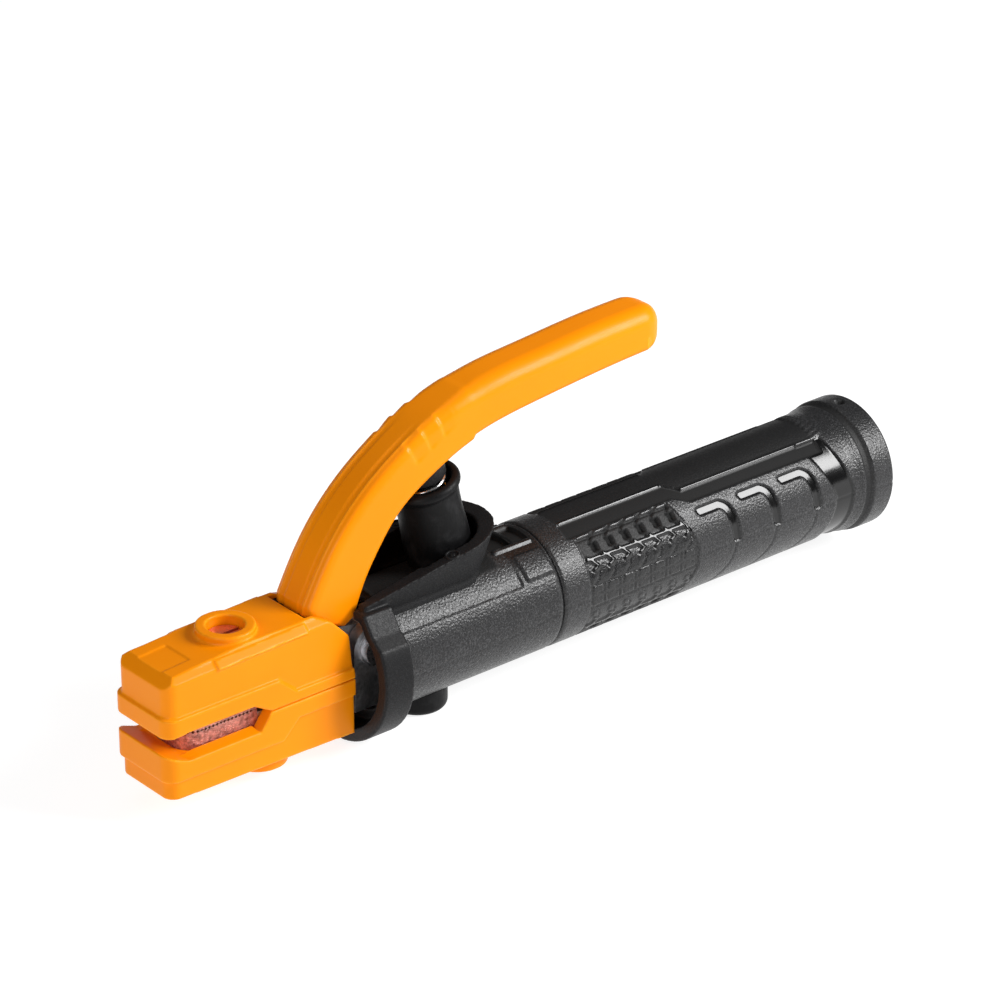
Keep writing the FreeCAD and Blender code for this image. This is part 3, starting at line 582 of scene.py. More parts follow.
RING_FRONT = [(-90, -24.5), (-42, -23.9), (-20, -22.8), (4, -21.8), (24, -24.6), (51, -28.7), (64, -30.0)]
RING_REAR = [(-90, -16.5), (-42, -16.0), (5, -15.1), (25, -17.0), (42, -18.8), (64, -20.5)]
RING_OPEN_DEGREES = (62, 66)
RING_DEPTH = 0.55
HASH_X = (-22.6, -19.4)
HASH_DEGREES = range(66, 98, 6)
HASH_WIDTH = 0.8
HASH_HEIGHT = 0.3

FLARE_FRONT = -15.5
FLARE_FULL = -7.0
FLARE_GROOVE = (-10.6, -8.3)
FLARE_GROOVE_DEPTH = 0.75
HANG_HOLE = (-4.6, 90.0)
HANG_HOLE_R = (1.1, 1.6)
HANG_HOLE_DEPTH = 2.0

PARTING_WIDTH = 0.7
PARTING_DEPTH = 0.14
GRIP_INSIDE = [(0, 17.6), (0, 12.6), (-0.6, 12), (-10, 12), (-10, 14.5), (-116, 14.5), (-116, 16.45),
               (GRIP_FRONT, 16.45)]


def arc_length(degrees):
    """Distance round the grip from the parting plane, for an angle above it."""
    return np.radians(degrees) * GRIP_R


def folded_height(angles):
    """Distance round the grip above the parting plane, the same on both sides."""
    return np.arcsin(np.sin(angles)) * GRIP_R


def panel_relief(x, s):
    """Smooth panel along the top: its bright border ridge and the dark channel outside it, with painted
    shade in the channel and on the middle of the panel.
    """
    border = arc_length(np.interp(x, PANEL_BREAK, PANEL_BORDER))
    outer = arc_length(np.interp(x, CHANNEL_X, CHANNEL_DEGREES))
    along = inside(PANEL_FRONT, PANEL_REAR, x, 0.8)
    channel = inside(outer, border, s, 0.7) * along
    ridge_run = np.maximum(inside(*RIDGE_RUNS[0], x, 0.6), inside(*RIDGE_RUNS[1], x, 0.6))
    ridge = inside(border + RIDGE_WIDTH[0], border + RIDGE_WIDTH[1], s, 0.25) * ridge_run
    top = rise(border - 0.2, border + 0.2, s) * along
    channel_shade = inside(outer, border - 0.3, s, 0.5)
    panel_shade = rise(border + 0.5, border + 1.0, s)
    height = RIDGE_HEIGHT * ridge - CHANNEL_DEPTH * channel - PANEL_DEPTH * top
    polish = np.maximum.reduce([0.8 * channel, 0.55 * top, ridge])
    # The third value is painted shade in the channel and on the panel.
    return height, polish, np.maximum(channel_shade, 0.45 * panel_shade) * along


def tread_comb(x, s):
    """Rib along the tread with a row of hooks below it."""
    comb = stroke(x, s, [(TREAD_FRONT + 0.6, COMB_S[0]), (COMB_REAR, COMB_S[1])], COMB_WIDTH, 0.3)
    for k in range(HOOK_COUNT):
        hook = HOOK_FIRST + k * HOOK_PITCH
        comb = np.maximum(comb, stroke(x, s, shifted(HOOK, hook), COMB_WIDTH, 0.3))
    return comb


def tread_thin_grooves(x, s):
    """Thin grooves across the lower tread, and the pads between them."""
    thin = stroke(x, s, [(TREAD_FRONT, THIN_LINE_S[0]), (TREAD_REAR[0], THIN_LINE_S[1])], THIN_WIDTH, 0.3)
    pads = np.zeros_like(thin)
    for k in range(HOOK_COUNT):
        hook = HOOK_FIRST + k * HOOK_PITCH
        pad = inside(hook + HOOK_PAD_X[0], hook + HOOK_PAD_X[1], x + 0.1 * s) * inside(*HOOK_PAD_S, s)
        pads = np.maximum(pads, pad)
        for line in (THIN_DIAGONAL, THIN_CORNER):
            thin = np.maximum(thin, stroke(x, s, shifted(line, hook), THIN_WIDTH, 0.3))
    return thin, pads


def tread_chevrons(x, s):
    """Slanted channels of the upper tread and the deep pits that they run into."""
    pits = np.zeros(np.broadcast(x, s).shape)
    cuts = np.zeros_like(pits)
    for k in range(HOOK_COUNT - 1):
        pit = HOOK_FIRST + k * HOOK_PITCH + PIT_OFFSET
        cuts = np.maximum(cuts, stroke(x, s, shifted(CHEVRON, pit), CHEVRON_WIDTH, 0.4))
        pits = np.maximum(pits, inside(pit, pit + PIT_LENGTH, x) * inside(*PIT_S, s))
        cuts = np.maximum(cuts, stroke(x, s, shifted(CHEVRON_TAIL, pit), CHEVRON_TAIL_WIDTH, 0.4))
    return cuts, pits


def tread_relief(x, s):
    """Tyre-like tread, mirrored below the parting plane."""
    s = np.abs(s)
    rear = np.interp(s, (3.0, 18.6), TREAD_REAR)
    area = inside(TREAD_FRONT, rear, x, 0.5) * (1 - rise(TREAD_TOP_S, TREAD_TOP_S + 0.4, s))
    rail = inside(*RAIL_S, s, 0.3) * inside(TREAD_FRONT + 0.6, TREAD_REAR[1] - 0.2, x)
    under = inside(*UNDER_RAIL_S, s, 0.4) * inside(TREAD_FRONT + 0.4, TREAD_REAR[1] + 0.4, x)
    comb = tread_comb(x, s)
    thin, pads = tread_thin_grooves(x, s)
    cuts, pits = tread_chevrons(x, s)
    front_edge = [(TREAD_FRONT, 0.0), (TREAD_FRONT, TREAD_TOP_S)]
    rear_edge = [(TREAD_REAR[0], 0.0), (TREAD_REAR[0], 3.0), (TREAD_REAR[1], 18.4)]
    rim = np.maximum(stroke(x, s, front_edge, RIM_WIDTH), stroke(x, s, rear_edge, RIM_WIDTH))
    raised = 0.25 * rail + COMB_HEIGHT * comb + HOOK_PAD_HEIGHT * pads
    sunk = 0.55 * under + CUT_DEPTH * cuts + PIT_DEPTH * pits + THIN_DEPTH * thin + TREAD_DEPTH * area
    height = (raised - sunk) * np.clip(area + rail, 0, 1) - RIM_DEPTH * rim
    upper_row = inside(*UPPER_ROW_S, s) * area
    polish = (0.5 - 0.3 * upper_row) * area
    # Painted shade in the pits, cuts and under rail, and a darker, duller upper row; the comb is left clear.
    dark = np.maximum.reduce([pits, 0.85 * cuts * area, 0.7 * under * area, 0.6 * upper_row])
    return height, np.clip(polish * (1 - comb) + comb, 0, 1), dark * (1 - comb)


def notch_relief(x, s):
    """Three hooked grooves: a short polished leg along the handle that turns down round it."""
    height, polish = np.zeros(np.broadcast(x, s).shape), 0
    for start in NOTCH_STARTS:
        bend = spline(shifted(NOTCH_BEND, start), 14)
        line = shifted(NOTCH_LEG, start) + [tuple(p) for p in bend[1:]]
        upper = stroke(x, s, line, NOTCH_WIDTH, 0.5) * rise(-0.2, 0.2, s)
        upper = upper * rise(-0.25, 0.25, x - start - NOTCH_SLANT * (NOTCH_S - s))
        tail = [tuple(p) for p in spline(shifted(NOTCH_TAIL, start), 16)]
        lower = stroke(x, s, tail, NOTCH_TAIL_WIDTH, 0.4)
        height = height - NOTCH_DEPTH * upper - NOTCH_TAIL_DEPTH * lower
        polish = np.maximum(polish, upper)
    return height, polish, 0


def ring_relief(x, s):
    """Polished recessed band round the handle just before its flare, and small hash ribs on its top."""
    degrees = np.degrees(s / GRIP_R)
    front = np.interp(degrees, *zip(*RING_FRONT))
    rear = np.interp(degrees, *zip(*RING_REAR))
    band = inside(front, rear, x, 0.7) * (1 - rise(*RING_OPEN_DEGREES, degrees))
    hashes = np.zeros_like(band)
    for angle in HASH_DEGREES:
        middle = arc_length(angle)
        line = [(HASH_X[0], middle - 0.5), (HASH_X[1], middle + 0.6)]
        hashes = np.maximum(hashes, stroke(x, s, line, HASH_WIDTH, 0.4))
    return HASH_HEIGHT * hashes - RING_DEPTH * band, band, 0


def flare_relief(x, s):
    """Flared rear end with a groove round it and a small blind hole on top."""
    out = FLARE_RISE * rise(FLARE_FRONT, FLARE_FULL, x)
    groove = inside(*FLARE_GROOVE, x, 1.0) + 0 * s
    hole_s = arc_length(HANG_HOLE[1])
    hole = 1 - rise(*HANG_HOLE_R, np.hypot(x - HANG_HOLE[0], s - hole_s))
    height = out - FLARE_GROOVE_DEPTH * groove - HANG_HOLE_DEPTH * hole
    # The third value is painted shade in the blind hole and the groove.
    return height, 0.5 * groove, np.maximum(hole, 0.6 * groove)


def grip_object():
    up, down = 62, 48
    columns = steps((-down, up, 1.12), (up, 180 - up, 1.35), (180 - up, 180 + down, 1.12),
                    (180 + down, 360 - down, 1.8))[:-1]
    angles = np.radians(columns)
    x = steps((GRIP_FRONT, -118.5, 0.5), (-118.5, -74.5, 0.35), (-74.5, -26.0, 0.5), (-26.0, -1.2, 0.42),
              (-1.2, GRIP_REAR, 0.3))[:, None]
    s = folded_height(angles)[None, :]
    relief, finish, shade = 0.0, 0.0, 0.0
    for layer in (panel_relief, tread_relief, notch_relief, ring_relief, flare_relief):
        height, polish, dark = layer(x, s)
        relief = relief + height
        finish = np.maximum(finish, polish)
        shade = np.maximum(shade, dark)
    parting = stroke(x, s, [(GRIP_FRONT, 0), (GRIP_REAR, 0)], PARTING_WIDTH, 0.6)
    rear_edge = 0.9 * rise(-1.2, 0, x) ** 2
    front_edge = 0.5 * (1 - rise(GRIP_FRONT, GRIP_FRONT + 0.8, x))
    relief = relief - PARTING_DEPTH * parting - rear_edge - front_edge
    obj = tube_object("grip", angles, x[:, 0], GRIP_R + relief, GRIP_INSIDE)
    add_mask(obj, "finish", finish + 0 * relief)
    # The shade mask carries painted shade for the material.
    add_mask(obj, "shade", shade + 0 * relief)
    return obj


# ---------------- front sleeve

SLEEVE_REAR = -126.5
SLEEVE_BORE_R = 14.6
SPIGOT_R = 16.4
SLEEVE_PANEL = (-182.5, -139.0)
SLEEVE_PANEL_DEGREES = 32.0
SLEEVE_PANEL_DEPTH = 0.45
SLOPE_REAR = -127.0
SLOPE_DEPTH = 0.5
PAD = (-137.2, -127.8)
PAD_DEGREES = (36.0, 61.0)
PAD_HEIGHT = 0.65
POCKET = (-141.8, -128.2)
POCKET_DEGREES = 75.0
POCKET_DEPTH = 1.3
POCKET_RIB = (-135.0, -133.2)
POCKET_RIB_HEIGHT = 1.5
POCKET_WALL_DEGREES = 5.0
POCKET_WALL_HEIGHT = 0.7
REAR_RING = (-127.6, -126.5)
SIDE_LINE_S = (-2.4, -0.6)
SIDE_LINE_BEND = (-150.0, -129.0)
# Stretch along the handle where the tray floor gets painted shade.
TRAY_SHADE_X = (-190.0, -143.0)


def sleeve_relief(x, s):
    """Stippled panel above a line, a raised pad, and a ribbed pocket on top behind the tray, with painted
    shade on the tray floor and in the pocket.
    """
    degrees = np.degrees(s / GRIP_R)
    panel_edge = rise(SLEEVE_PANEL_DEGREES, SLEEVE_PANEL_DEGREES + 1.6, degrees)
    panel = panel_edge * inside(*SLEEVE_PANEL, x, 0.6)
    slope = rise(SLEEVE_PANEL_DEGREES, 60, degrees) * inside(SLEEVE_PANEL[1], SLOPE_REAR, x, 0.6)
    pad = inside(*PAD, x, 0.6) * inside(*PAD_DEGREES, degrees, 2.0)
    pocket = inside(*POCKET, x, 0.6) * rise(POCKET_DEGREES - 1, POCKET_DEGREES + 1, degrees)
    rib = inside(*POCKET_RIB, x, 0.5) * pocket
    wall_start = POCKET_DEGREES - POCKET_WALL_DEGREES
    wall = inside(*POCKET, x, 0.6) * inside(wall_start, POCKET_DEGREES, degrees, 1.4)
    ring = inside(*REAR_RING, x, 0.4)
    line = stroke(x, s, [(SLEEVE_FRONT, SIDE_LINE_S[0]), *zip(SIDE_LINE_BEND, SIDE_LINE_S)], 0.6, 0.4)
    raised = PAD_HEIGHT * pad + POCKET_RIB_HEIGHT * rib + POCKET_WALL_HEIGHT * wall
    sunk = SLEEVE_PANEL_DEPTH * panel + SLOPE_DEPTH * slope + POCKET_DEPTH * pocket
    sunk = sunk + 0.15 * ring + 0.14 * line
    polish = np.clip(0.8 * pocket + 0.6 * slope - pad, 0, 1)
    # Painted shade: the tray floor and the pocket between its ribs are darkened.
    tray_shade = inside(*TRAY_SHADE_X, x, 2.0) * rise(54, 60, degrees)
    return raised - sunk, polish, np.maximum(tray_shade, 0.85 * pocket * (1 - rib))


def sleeve_object():
    columns = steps((-60, 50, 1.5), (50, 130, 1.15), (130, 240, 1.5), (240, 300, 2.0))[:-1]
    angles = np.radians(columns)
    x = steps((SLEEVE_FRONT, -142.5, 0.5), (-142.5, SLEEVE_REAR - 0.5, 0.36),
              (SLEEVE_REAR - 0.5, SLEEVE_REAR, 0.25))[:, None]
    height, finish, shade = sleeve_relief(x, folded_height(angles)[None, :])
    height = height - 0.45 * rise(SLEEVE_REAR - 0.6, SLEEVE_REAR, x)
    spigot = SLEEVE_HIGH[0]
    inner = [(SLEEVE_REAR, SPIGOT_R), (spigot - 0.6, SPIGOT_R), (spigot, SPIGOT_R - 0.6),
             (spigot, SLEEVE_BORE_R), (SLEEVE_FRONT, SLEEVE_BORE_R)]
    obj = tube_object("sleeve", angles, x[:, 0], GRIP_R + height, inner)
    add_mask(obj, "finish", finish + 0 * height)
    # The shade mask carries painted shade for the material.
    add_mask(obj, "shade", shade + 0 * height)
    return obj


# ---------------- guard and foot

TRAY_END = -156.2
TRAY_HALF = 11.5
TRAY_POCKET = 9.2
SKIRT_Z = (9, 19)
HOLLOW_Z = (0, 40)
SKIRT_INNER_R = 16.2
MARK = (-161.4, 12.0)
RIM_Z = 26.95
RIM_SLOPE = 0.19
MARK_SUNK = 0.15
MARK_RING_R = 1.85
MARK_RING_THICK = (0.35, 0.45)
MARK_DOT = [(0.01, -0.3), (0.75, -0.3), (0.75, 0.25), (0.55, 0.42), (0.01, 0.42)]


def tray_outline(half):
    """Outline of the tray in plan, round at its rear end, from the sleeve's front."""
    turn = np.linspace(-math.pi / 2, math.pi / 2, 24)
    rounded = [(TRAY_END + half * math.cos(t), half * math.sin(t)) for t in turn]
    return [(SLEEVE_FRONT - 1, -half), *rounded, (SLEEVE_FRONT - 1, half)]


def tray_skirt():
    """Foot of the tray's wall, sunk into the sleeve so that no gap shows under it."""
    front, rear = SLEEVE_FRONT - 10, SLEEVE_HIGH[0]
    skirt = extruded("skirt", tray_outline(TRAY_HALF), 2, *SKIRT_Z)
    hollow = tray_outline(TRAY_POCKET)
    hollow[0] = (front, -TRAY_POCKET)
    hollow[-1] = (front, TRAY_POCKET)
    combine(skirt, [extruded("hollow", hollow, 2, *HOLLOW_Z)], "DIFFERENCE")
    combine(skirt, [rod("outside", (0, 0), GRIP_R + 0.5, 0, front, rear)], "INTERSECT")
    combine(skirt, [rod("inside", (0, 0), SKIRT_INNER_R, 0, front - 1, rear + 1)], "DIFFERENCE")
    return skirt


def guard_object():
    """The collar and its tray, with softened edges."""
    obj = cad_copy("front_guard", "guard")
    combine(obj, [tray_skirt()], "UNION")
    soften(obj, 0.42, 4)
    return obj


def tray_mark_object(side):
    """Small raised ring and dot moulded on the tray's rim."""
    x, y = MARK
    z = RIM_Z + RIM_SLOPE * (x - TRAY_END) - MARK_SUNK
    tilt = math.atan(RIM_SLOPE)
    wide, tall = MARK_RING_THICK
    turn = np.linspace(0, 2 * math.pi, 12)[:-1]
    ring = [(MARK_RING_R + wide * math.cos(t), 0.1 + tall * math.sin(t)) for t in turn]

    def place(points):
        along = points[:, 0] * math.cos(tilt) - points[:, 2] * math.sin(tilt)
        up = points[:, 0] * math.sin(tilt) + points[:, 2] * math.cos(tilt)
        return np.stack([x + along, side * y + points[:, 1], z + up], -1)

    mark = lathe_object("tray_ring" + SIDE_NAMES[side], ring, 40, place)
    middle = lathe_object("tray_dot" + SIDE_NAMES[side], MARK_DOT, 24, place)
    return mark, middle


def foot_object():
    """Round rubber foot whose top follows the sleeve."""
    obj = cad_copy("foot_cap", "foot")
    soften(obj, 0.35, 4)
    return obj


# ---------------- jaw insulators

STEP_DEPTH = 1.0
CORNER_R = 3.6
PAST_FRONT = -262
PAST_REAR = -190
PAST_JAW = -180
PAST_SIDE = 20
PAST_TOP = 60
UPPER_STEP = [(PAST_FRONT, 8.4), (-221.2, 8.4), (-215.3, 3.3), (PAST_REAR, 3.3), (PAST_REAR, 21.9),
              (PAST_FRONT, 21.9)]
LOWER_STEP = [(PAST_FRONT, -10.4), (-220.0, -10.4), (-214.8, -5.1), (PAST_REAR, -5.1), (PAST_REAR, -17.0),
              (PAST_FRONT, -17.0)]
TOP_MARK = [(PAST_FRONT, 19.0), (-245.2, 20.1), (-245.2, 26), (PAST_FRONT, 26)]
TOP_MARK_HALF = 5.4
STRIP_X = (-240.7, -211.0)
STRIP_Z = (19.8, 21.6)
STRIP_Z_X = (JAW_FRONT, -195.5)
STRIP_LOW = (0.55, 2.3)
STRIP_HIGH = (2.7, 0.25)
STRIP_OUT = np.array([0.683, 0.731])
STRIP_SUNK = 2.0
STRIP_RISE = 0.55
LIP_Y = (8.6, JAW_HALF - 0.6)
LIP_BASE_Z = -5.3
LIP_LOW_Z = -5.0
LIP_STATIONS = ((-228.2, 1.0), (-248.0, 1.0), (-256.5, 0.05))


def step_cutter(outline):
    """Cutter that steps a jaw's sides and front back within an XZ outline, following its rounded corners."""
    front, half = JAW_FRONT + STEP_DEPTH, JAW_HALF - STEP_DEPTH
    turn = np.linspace(0, math.pi / 2, 12)
    near = [(front + CORNER_R * (1 - math.cos(t)), -half + CORNER_R * (1 - math.sin(t))) for t in turn]
    far = [(x, -y) for x, y in reversed(near)]
    kept_outline = [(PAST_JAW, half), (PAST_JAW, -half), *reversed(near), *reversed(far)]
    cutter = extruded("step", outline, 1, -PAST_SIDE, PAST_SIDE)
    combine(cutter, [extruded("kept", kept_outline, 2, -PAST_TOP, PAST_TOP)], "DIFFERENCE")
    return cutter


def edge_strip(side):
    """Raised strip on the bevel along the upper jaw's outer edge."""
    points = []
    for x in STRIP_X:
        z = np.interp(x, STRIP_Z_X, STRIP_Z)
        low = np.array([JAW_HALF - STRIP_LOW[0], z - STRIP_LOW[1]])
        high = np.array([JAW_HALF - STRIP_HIGH[0], z - STRIP_HIGH[1]])
        inward, outward = -STRIP_SUNK * STRIP_OUT, STRIP_RISE * STRIP_OUT
        for y, level in (low + inward, high + inward, high + outward, low + outward):
            points.append((x, side * y, level))
    return prism_between(points, "strip")


def lip_wedge(side):
    """Slope that raises the lower jaw's lip towards the copper and fades out at its front."""
    inner, outer = LIP_Y
    points = []
    for x, share in LIP_STATIONS:
        low, high = LIP_LOW_Z + 0.1 * share, LIP_LOW_Z + 1.1 * share
        for y, z in ((inner, LIP_BASE_Z), (outer, LIP_BASE_Z), (outer, low), (inner, high)):
            points.append((x, side * y, z))
    return prism_between(points, "slope")


def prism_between(points, name):
    """Solid through a row of four-cornered sections."""
    last = len(points) - 4
    faces = [(0, 1, 2, 3), (last + 3, last + 2, last + 1, last)]
    for start in range(0, last, 4):
        for k in range(4):
            following = (k + 1) % 4
            faces.append((start + k, start + 4 + k, start + 4 + following, start + following))
    obj = new_object(name, points, faces, smooth=False)
    fix_normals(obj)
    return obj


def upper_jaw_object():
    obj = cad_copy("upper_jaw_insulator", "upper_jaw")
    mark = extruded("mark", TOP_MARK, 1, -TOP_MARK_HALF, TOP_MARK_HALF)
    combine(obj, [step_cutter(UPPER_STEP), mark], "DIFFERENCE")
    combine(obj, [edge_strip(side) for side in SIDE_NAMES], "UNION")
    soften(obj, 0.33, 3)
    return obj


def lower_jaw_object():
    obj = cad_copy("lower_jaw_insulator", "lower_jaw")
    combine(obj, [step_cutter(LOWER_STEP)], "DIFFERENCE")
    combine(obj, [lip_wedge(side) for side in SIDE_NAMES], "UNION")
    soften(obj, 0.33, 3)
    return obj


# ---------------- lever cover

LEVER_TOP = [(-207.0, 22.8), (-201.5, 32.8), (-194.4, 42.6), (-184.0, 52.4), (-171.8, 60.4),
             (-152.5, 69.6), (-126.0, 73.6), (-100.0, 75.6), (-80.3, 76.1)]
LEVER_LOW = [(-191.8, 15.8), (-188.0, 25.0), (-182.5, 33.8), (-175.6, 42.0), (-166.0, 48.4),
             (-149.9, 55.4), (-125.5, 59.4), (-97.5, 61.9), (-80.3, 62.8)]
LEVER_FOOT = [(-207.2, 19.0), (-195.5, 13.5)]
LEVER_STATIONS = 300
TOP_R = (2.5, 5.2)
TOP_R_X = (-170.0, -146.0)
LOW_R = 2.2
END_R = 7.0
BAND_HALF = 3.0
BAND_RISE = 0.35
RIDGE_Y = 5.1
RIDGE_HALF = 0.35
LEVER_RIDGE_HEIGHT = 0.4
RIDGE_FADE = (-178.0, -164.0)
TOP_LIFT = 0.8
TOP_LIFT_FADE = (-168.0, -154.0)
SHOULDER_X = -150.5
NOTCH_X = (-173.0, -157.0)
NOTCH_PITCH = 5.2
NOTCH_PULL = 0.6
NOTCH_EDGE = 0.12
NOTCH_BELOW_TOP = (-6.2, -5.2)
NOTCH_FROM_SIDE = (-3.3, -1.6)
TOP_FACE = (-1.6, -0.6)
# Box of the dark block put in the gap round the lever's foot as a painted shadow.
FOOT_SHADOW_X = (-209.1, -206.0)
FOOT_SHADOW_Z = (15.7, 20.2)
FOOT_SHADOW_HALF = COVER_HALF + 0.1


def quarter(centre, radius, start, count):
    """Points of a quarter circle, without its last one, from an angle in quarter turns."""
    turn = (start + np.linspace(0, 1, count)[:-1]) * math.pi / 2
    return [(centre[0] + radius * math.cos(t), centre[1] + radius * math.sin(t)) for t in turn]


def lever_section(half, low, high, corner):
    """Points round a bar's section: half width, lower and upper level, with rounded corners."""
    limit = min(half, (high - low) / 2) - 0.3
    top_r, low_r = min(corner, limit), min(LOW_R, limit)
    side = np.linspace(low + low_r, high - top_r, 18)
    points = [(y, low) for y in np.linspace(-half + low_r, half - low_r, 18)[:-1]]
    points += quarter((half - low_r, low + low_r), low_r, -1, 7)
    points += [(half, w) for w in side[:-1]]
    points += quarter((half - top_r, high - top_r), top_r, 0, 12)
    points += [(y, high) for y in np.linspace(half - top_r, -half + top_r, 36)[:-1]]
    points += quarter((-half + top_r, high - top_r), top_r, 1, 12)
    points += [(-half, w) for w in side[:0:-1]]
    points += quarter((-half + low_r, low + low_r), low_r, 2, 7)
    return np.array(points)


def lever_relief(x, y, w, high):
    """Shift of a section's points: ridges along its top and wedge notches along its upper edges."""
    fade = 1 - rise(*RIDGE_FADE, x)
    on_top = rise(*(high + edge for edge in TOP_FACE), w)
    band = inside(-BAND_HALF, BAND_HALF, y, 0.7)
    ridge = inside(RIDGE_Y - RIDGE_HALF, RIDGE_Y + RIDGE_HALF, np.abs(y), 0.5)
    ridges = fade * (LEVER_RIDGE_HEIGHT * ridge - BAND_RISE * (1 - band))
    up = on_top * (ridges + TOP_LIFT * (1 - rise(*TOP_LIFT_FADE, x)))
    phase = (x - NOTCH_X[0]) / NOTCH_PITCH
    into_notch = phase - math.floor(phase)
    ramp = (1 - into_notch) * rise(0.0, NOTCH_EDGE, into_notch) if NOTCH_X[0] < x < NOTCH_X[1] else 0.0
    near_top = rise(*(high + edge for edge in NOTCH_BELOW_TOP), w)
    corner = near_top * rise(*(COVER_HALF + edge for edge in NOTCH_FROM_SIDE), np.abs(y))
    return up, NOTCH_PULL * ramp * corner


def lever_stations():
    """Pairs of upper and lower points along the lever, from its foot to its rounded rear end."""
    foot = np.array([*LEVER_FOOT[0], *LEVER_FOOT[1]])
    curve = spline([(*top, *low) for top, low in zip(LEVER_TOP, LEVER_LOW)], LEVER_STATIONS)
    lead = [foot + (curve[0] - foot) * k / 6 for k in range(6)]
    stations = np.vstack([lead, curve])
    last = LEVER_TOP[-1][0]
    rounding = last - END_R + END_R * np.sin(np.linspace(0, math.pi / 2, 10))
    tail = np.array([[np.interp(x, stations[:, 0], stations[:, k]) for k in range(4)] for x in rounding])
    tail[:, 0] = rounding
    tail[:, 2] = rounding
    return np.vstack([stations[stations[:, 0] < last - END_R - 0.2], tail])


def lever_ring(station):
    """Points of the lever's section at one station."""
    top, low = station[:2], station[2:]
    middle = (top + low) / 2
    up = (top - low) / np.linalg.norm(top - low)
    reach = np.linalg.norm(top - low) / 2
    into_end = max(0.0, top[0] - (LEVER_TOP[-1][0] - END_R))
    shrink = END_R - math.sqrt(max(0.0, END_R ** 2 - into_end ** 2))
    shoulder = rise(SHOULDER_X - 1.2, SHOULDER_X + 1.2, top[0])
    under = rise(SHOULDER_X + 0.5, SHOULDER_X + 1.5, low[0])
    high = reach - 0.2 * shoulder - 0.7 * shrink
    deep = -reach - 0.5 + 1.0 * under + 0.85 * shrink
    section = lever_section(COVER_HALF - shrink, deep, high, np.interp(top[0], TOP_R_X, TOP_R))
    lift, pull = lever_relief(top[0], section[:, 0], section[:, 1], high)
    y = section[:, 0] - np.sign(section[:, 0]) * pull
    w = section[:, 1] + lift - 0.5 * pull
    return np.stack([middle[0] + up[0] * w, y, middle[1] + up[1] * w], -1)


def lever_object():
    rings = [lever_ring(station) for station in lever_stations()]
    rows, columns = len(rings), len(rings[0])
    points = np.vstack([*rings, rings[0].mean(0)[None], rings[-1].mean(0)[None]])
    faces = grid_faces(rows, columns, False).tolist()
    foot_tip, last = rows * columns, (rows - 1) * columns
    for k in range(columns):
        following = (k + 1) % columns
        faces.append([foot_tip, following, k])
        faces.append([foot_tip + 1, last + k, last + following])
    obj = new_object("lever_grip", points, faces)
    fix_normals(obj)
    smooth = obj.modifiers.new("foot", "SMOOTH")
    smooth.factor = 0.5
    smooth.iterations = 2
    settle(obj)
    return obj


def foot_shadow_block_object():
    """Dark block in the gap round the lever's foot, standing in as a painted shadow."""
    (front, rear), half = FOOT_SHADOW_X, FOOT_SHADOW_HALF
    outline = [(front, -half), (rear, -half), (rear, half), (front, half)]
    shadow_block = extruded("foot_shadow_block", outline, 2, *FOOT_SHADOW_Z)
    soften(shadow_block, 0.3, 2)
    return shadow_block


# ---------------- spring and boot

SPRING_FOOT = np.array([-153.85, 0.0, 11.25])
SPRING_TILT = math.radians(13.6)
SPRING_AXIS = np.array([-math.sin(SPRING_TILT), 0.0, math.cos(SPRING_TILT)])
SPRING_SIDE = np.array([math.cos(SPRING_TILT), 0.0, math.sin(SPRING_TILT)])
BOOT_R = 9.5
BOOT_BORE = 7.6
BOOT_HEIGHT = 35.0
BOOT_FLOOR = 2.0
BOOT_WAIST = 0.35
AXIS_R = 0.01
LIP_R = 10.3
LIP_THICK = 1.6
SPRING_R = 5.6
WIRE_R = 0.9
SPRING_LOW = 2.9
SPRING_HIGH = 35.1
SPRING_TURNS = 7.5
CLOSE_TURNS = 0.9
CLOSE_PITCH = 1.9 * WIRE_R
TURN_STEPS = 48
BLEND_RUN = (3.0, 36.0)


def on_spring_axis(points):
    p = np.asarray(points, float)
    return SPRING_FOOT + p[:, :1] * SPRING_SIDE + p[:, 1:2] * [0, 1, 0] + p[:, 2:] * SPRING_AXIS


def boot_object():
    """Rubber cup with a rolled lip, slightly wider at its foot."""
    rim, floor_z = BOOT_HEIGHT, BOOT_FLOOR
    lip = [(LIP_R - LIP_THICK + LIP_THICK * math.cos(t), rim - LIP_THICK + LIP_THICK * math.sin(t))
           for t in np.linspace(-1.1, 1.9, 14)]
    outer = [(BOOT_R - 0.1 * rise(0, 20, z) - BOOT_WAIST * inside(20, 30.5, z, 8.0), z)
             for z in np.linspace(0.5, 30.8, 40)]
    throat = [(BOOT_BORE + 0.5, rim - 0.5), (BOOT_BORE + 0.1, rim - 1.6)]
    inner = [(BOOT_BORE, z) for z in np.linspace(rim - 3, floor_z + 0.4, 30)]
    base = [(AXIS_R, 0.0), (BOOT_R - 0.6, 0.0)]
    floor_line = [(BOOT_BORE - 0.5, floor_z), (AXIS_R, floor_z)]
    return lathe_object("boot", base + outer + lip + throat + inner + floor_line, 128, on_spring_axis)


def spring_object():
    """Coil spring with close end turns."""
    turn = np.linspace(0, SPRING_TURNS, int(SPRING_TURNS * TURN_STEPS))
    share = np.clip((turn - CLOSE_TURNS) / (SPRING_TURNS - 2 * CLOSE_TURNS), 0, 1)
    close = np.minimum(turn, CLOSE_TURNS) + np.maximum(0, turn - SPRING_TURNS + CLOSE_TURNS)
    height = SPRING_LOW + CLOSE_PITCH * close
    height = height + share * (SPRING_HIGH - SPRING_LOW - 2 * CLOSE_PITCH * CLOSE_TURNS)
    angle = 2 * math.pi * turn
    centre = np.stack([SPRING_R * np.cos(angle), SPRING_R * np.sin(angle), height], -1)
    return wire_object("spring", centre, WIRE_R, 14, on_spring_axis)


# ---------------- the object

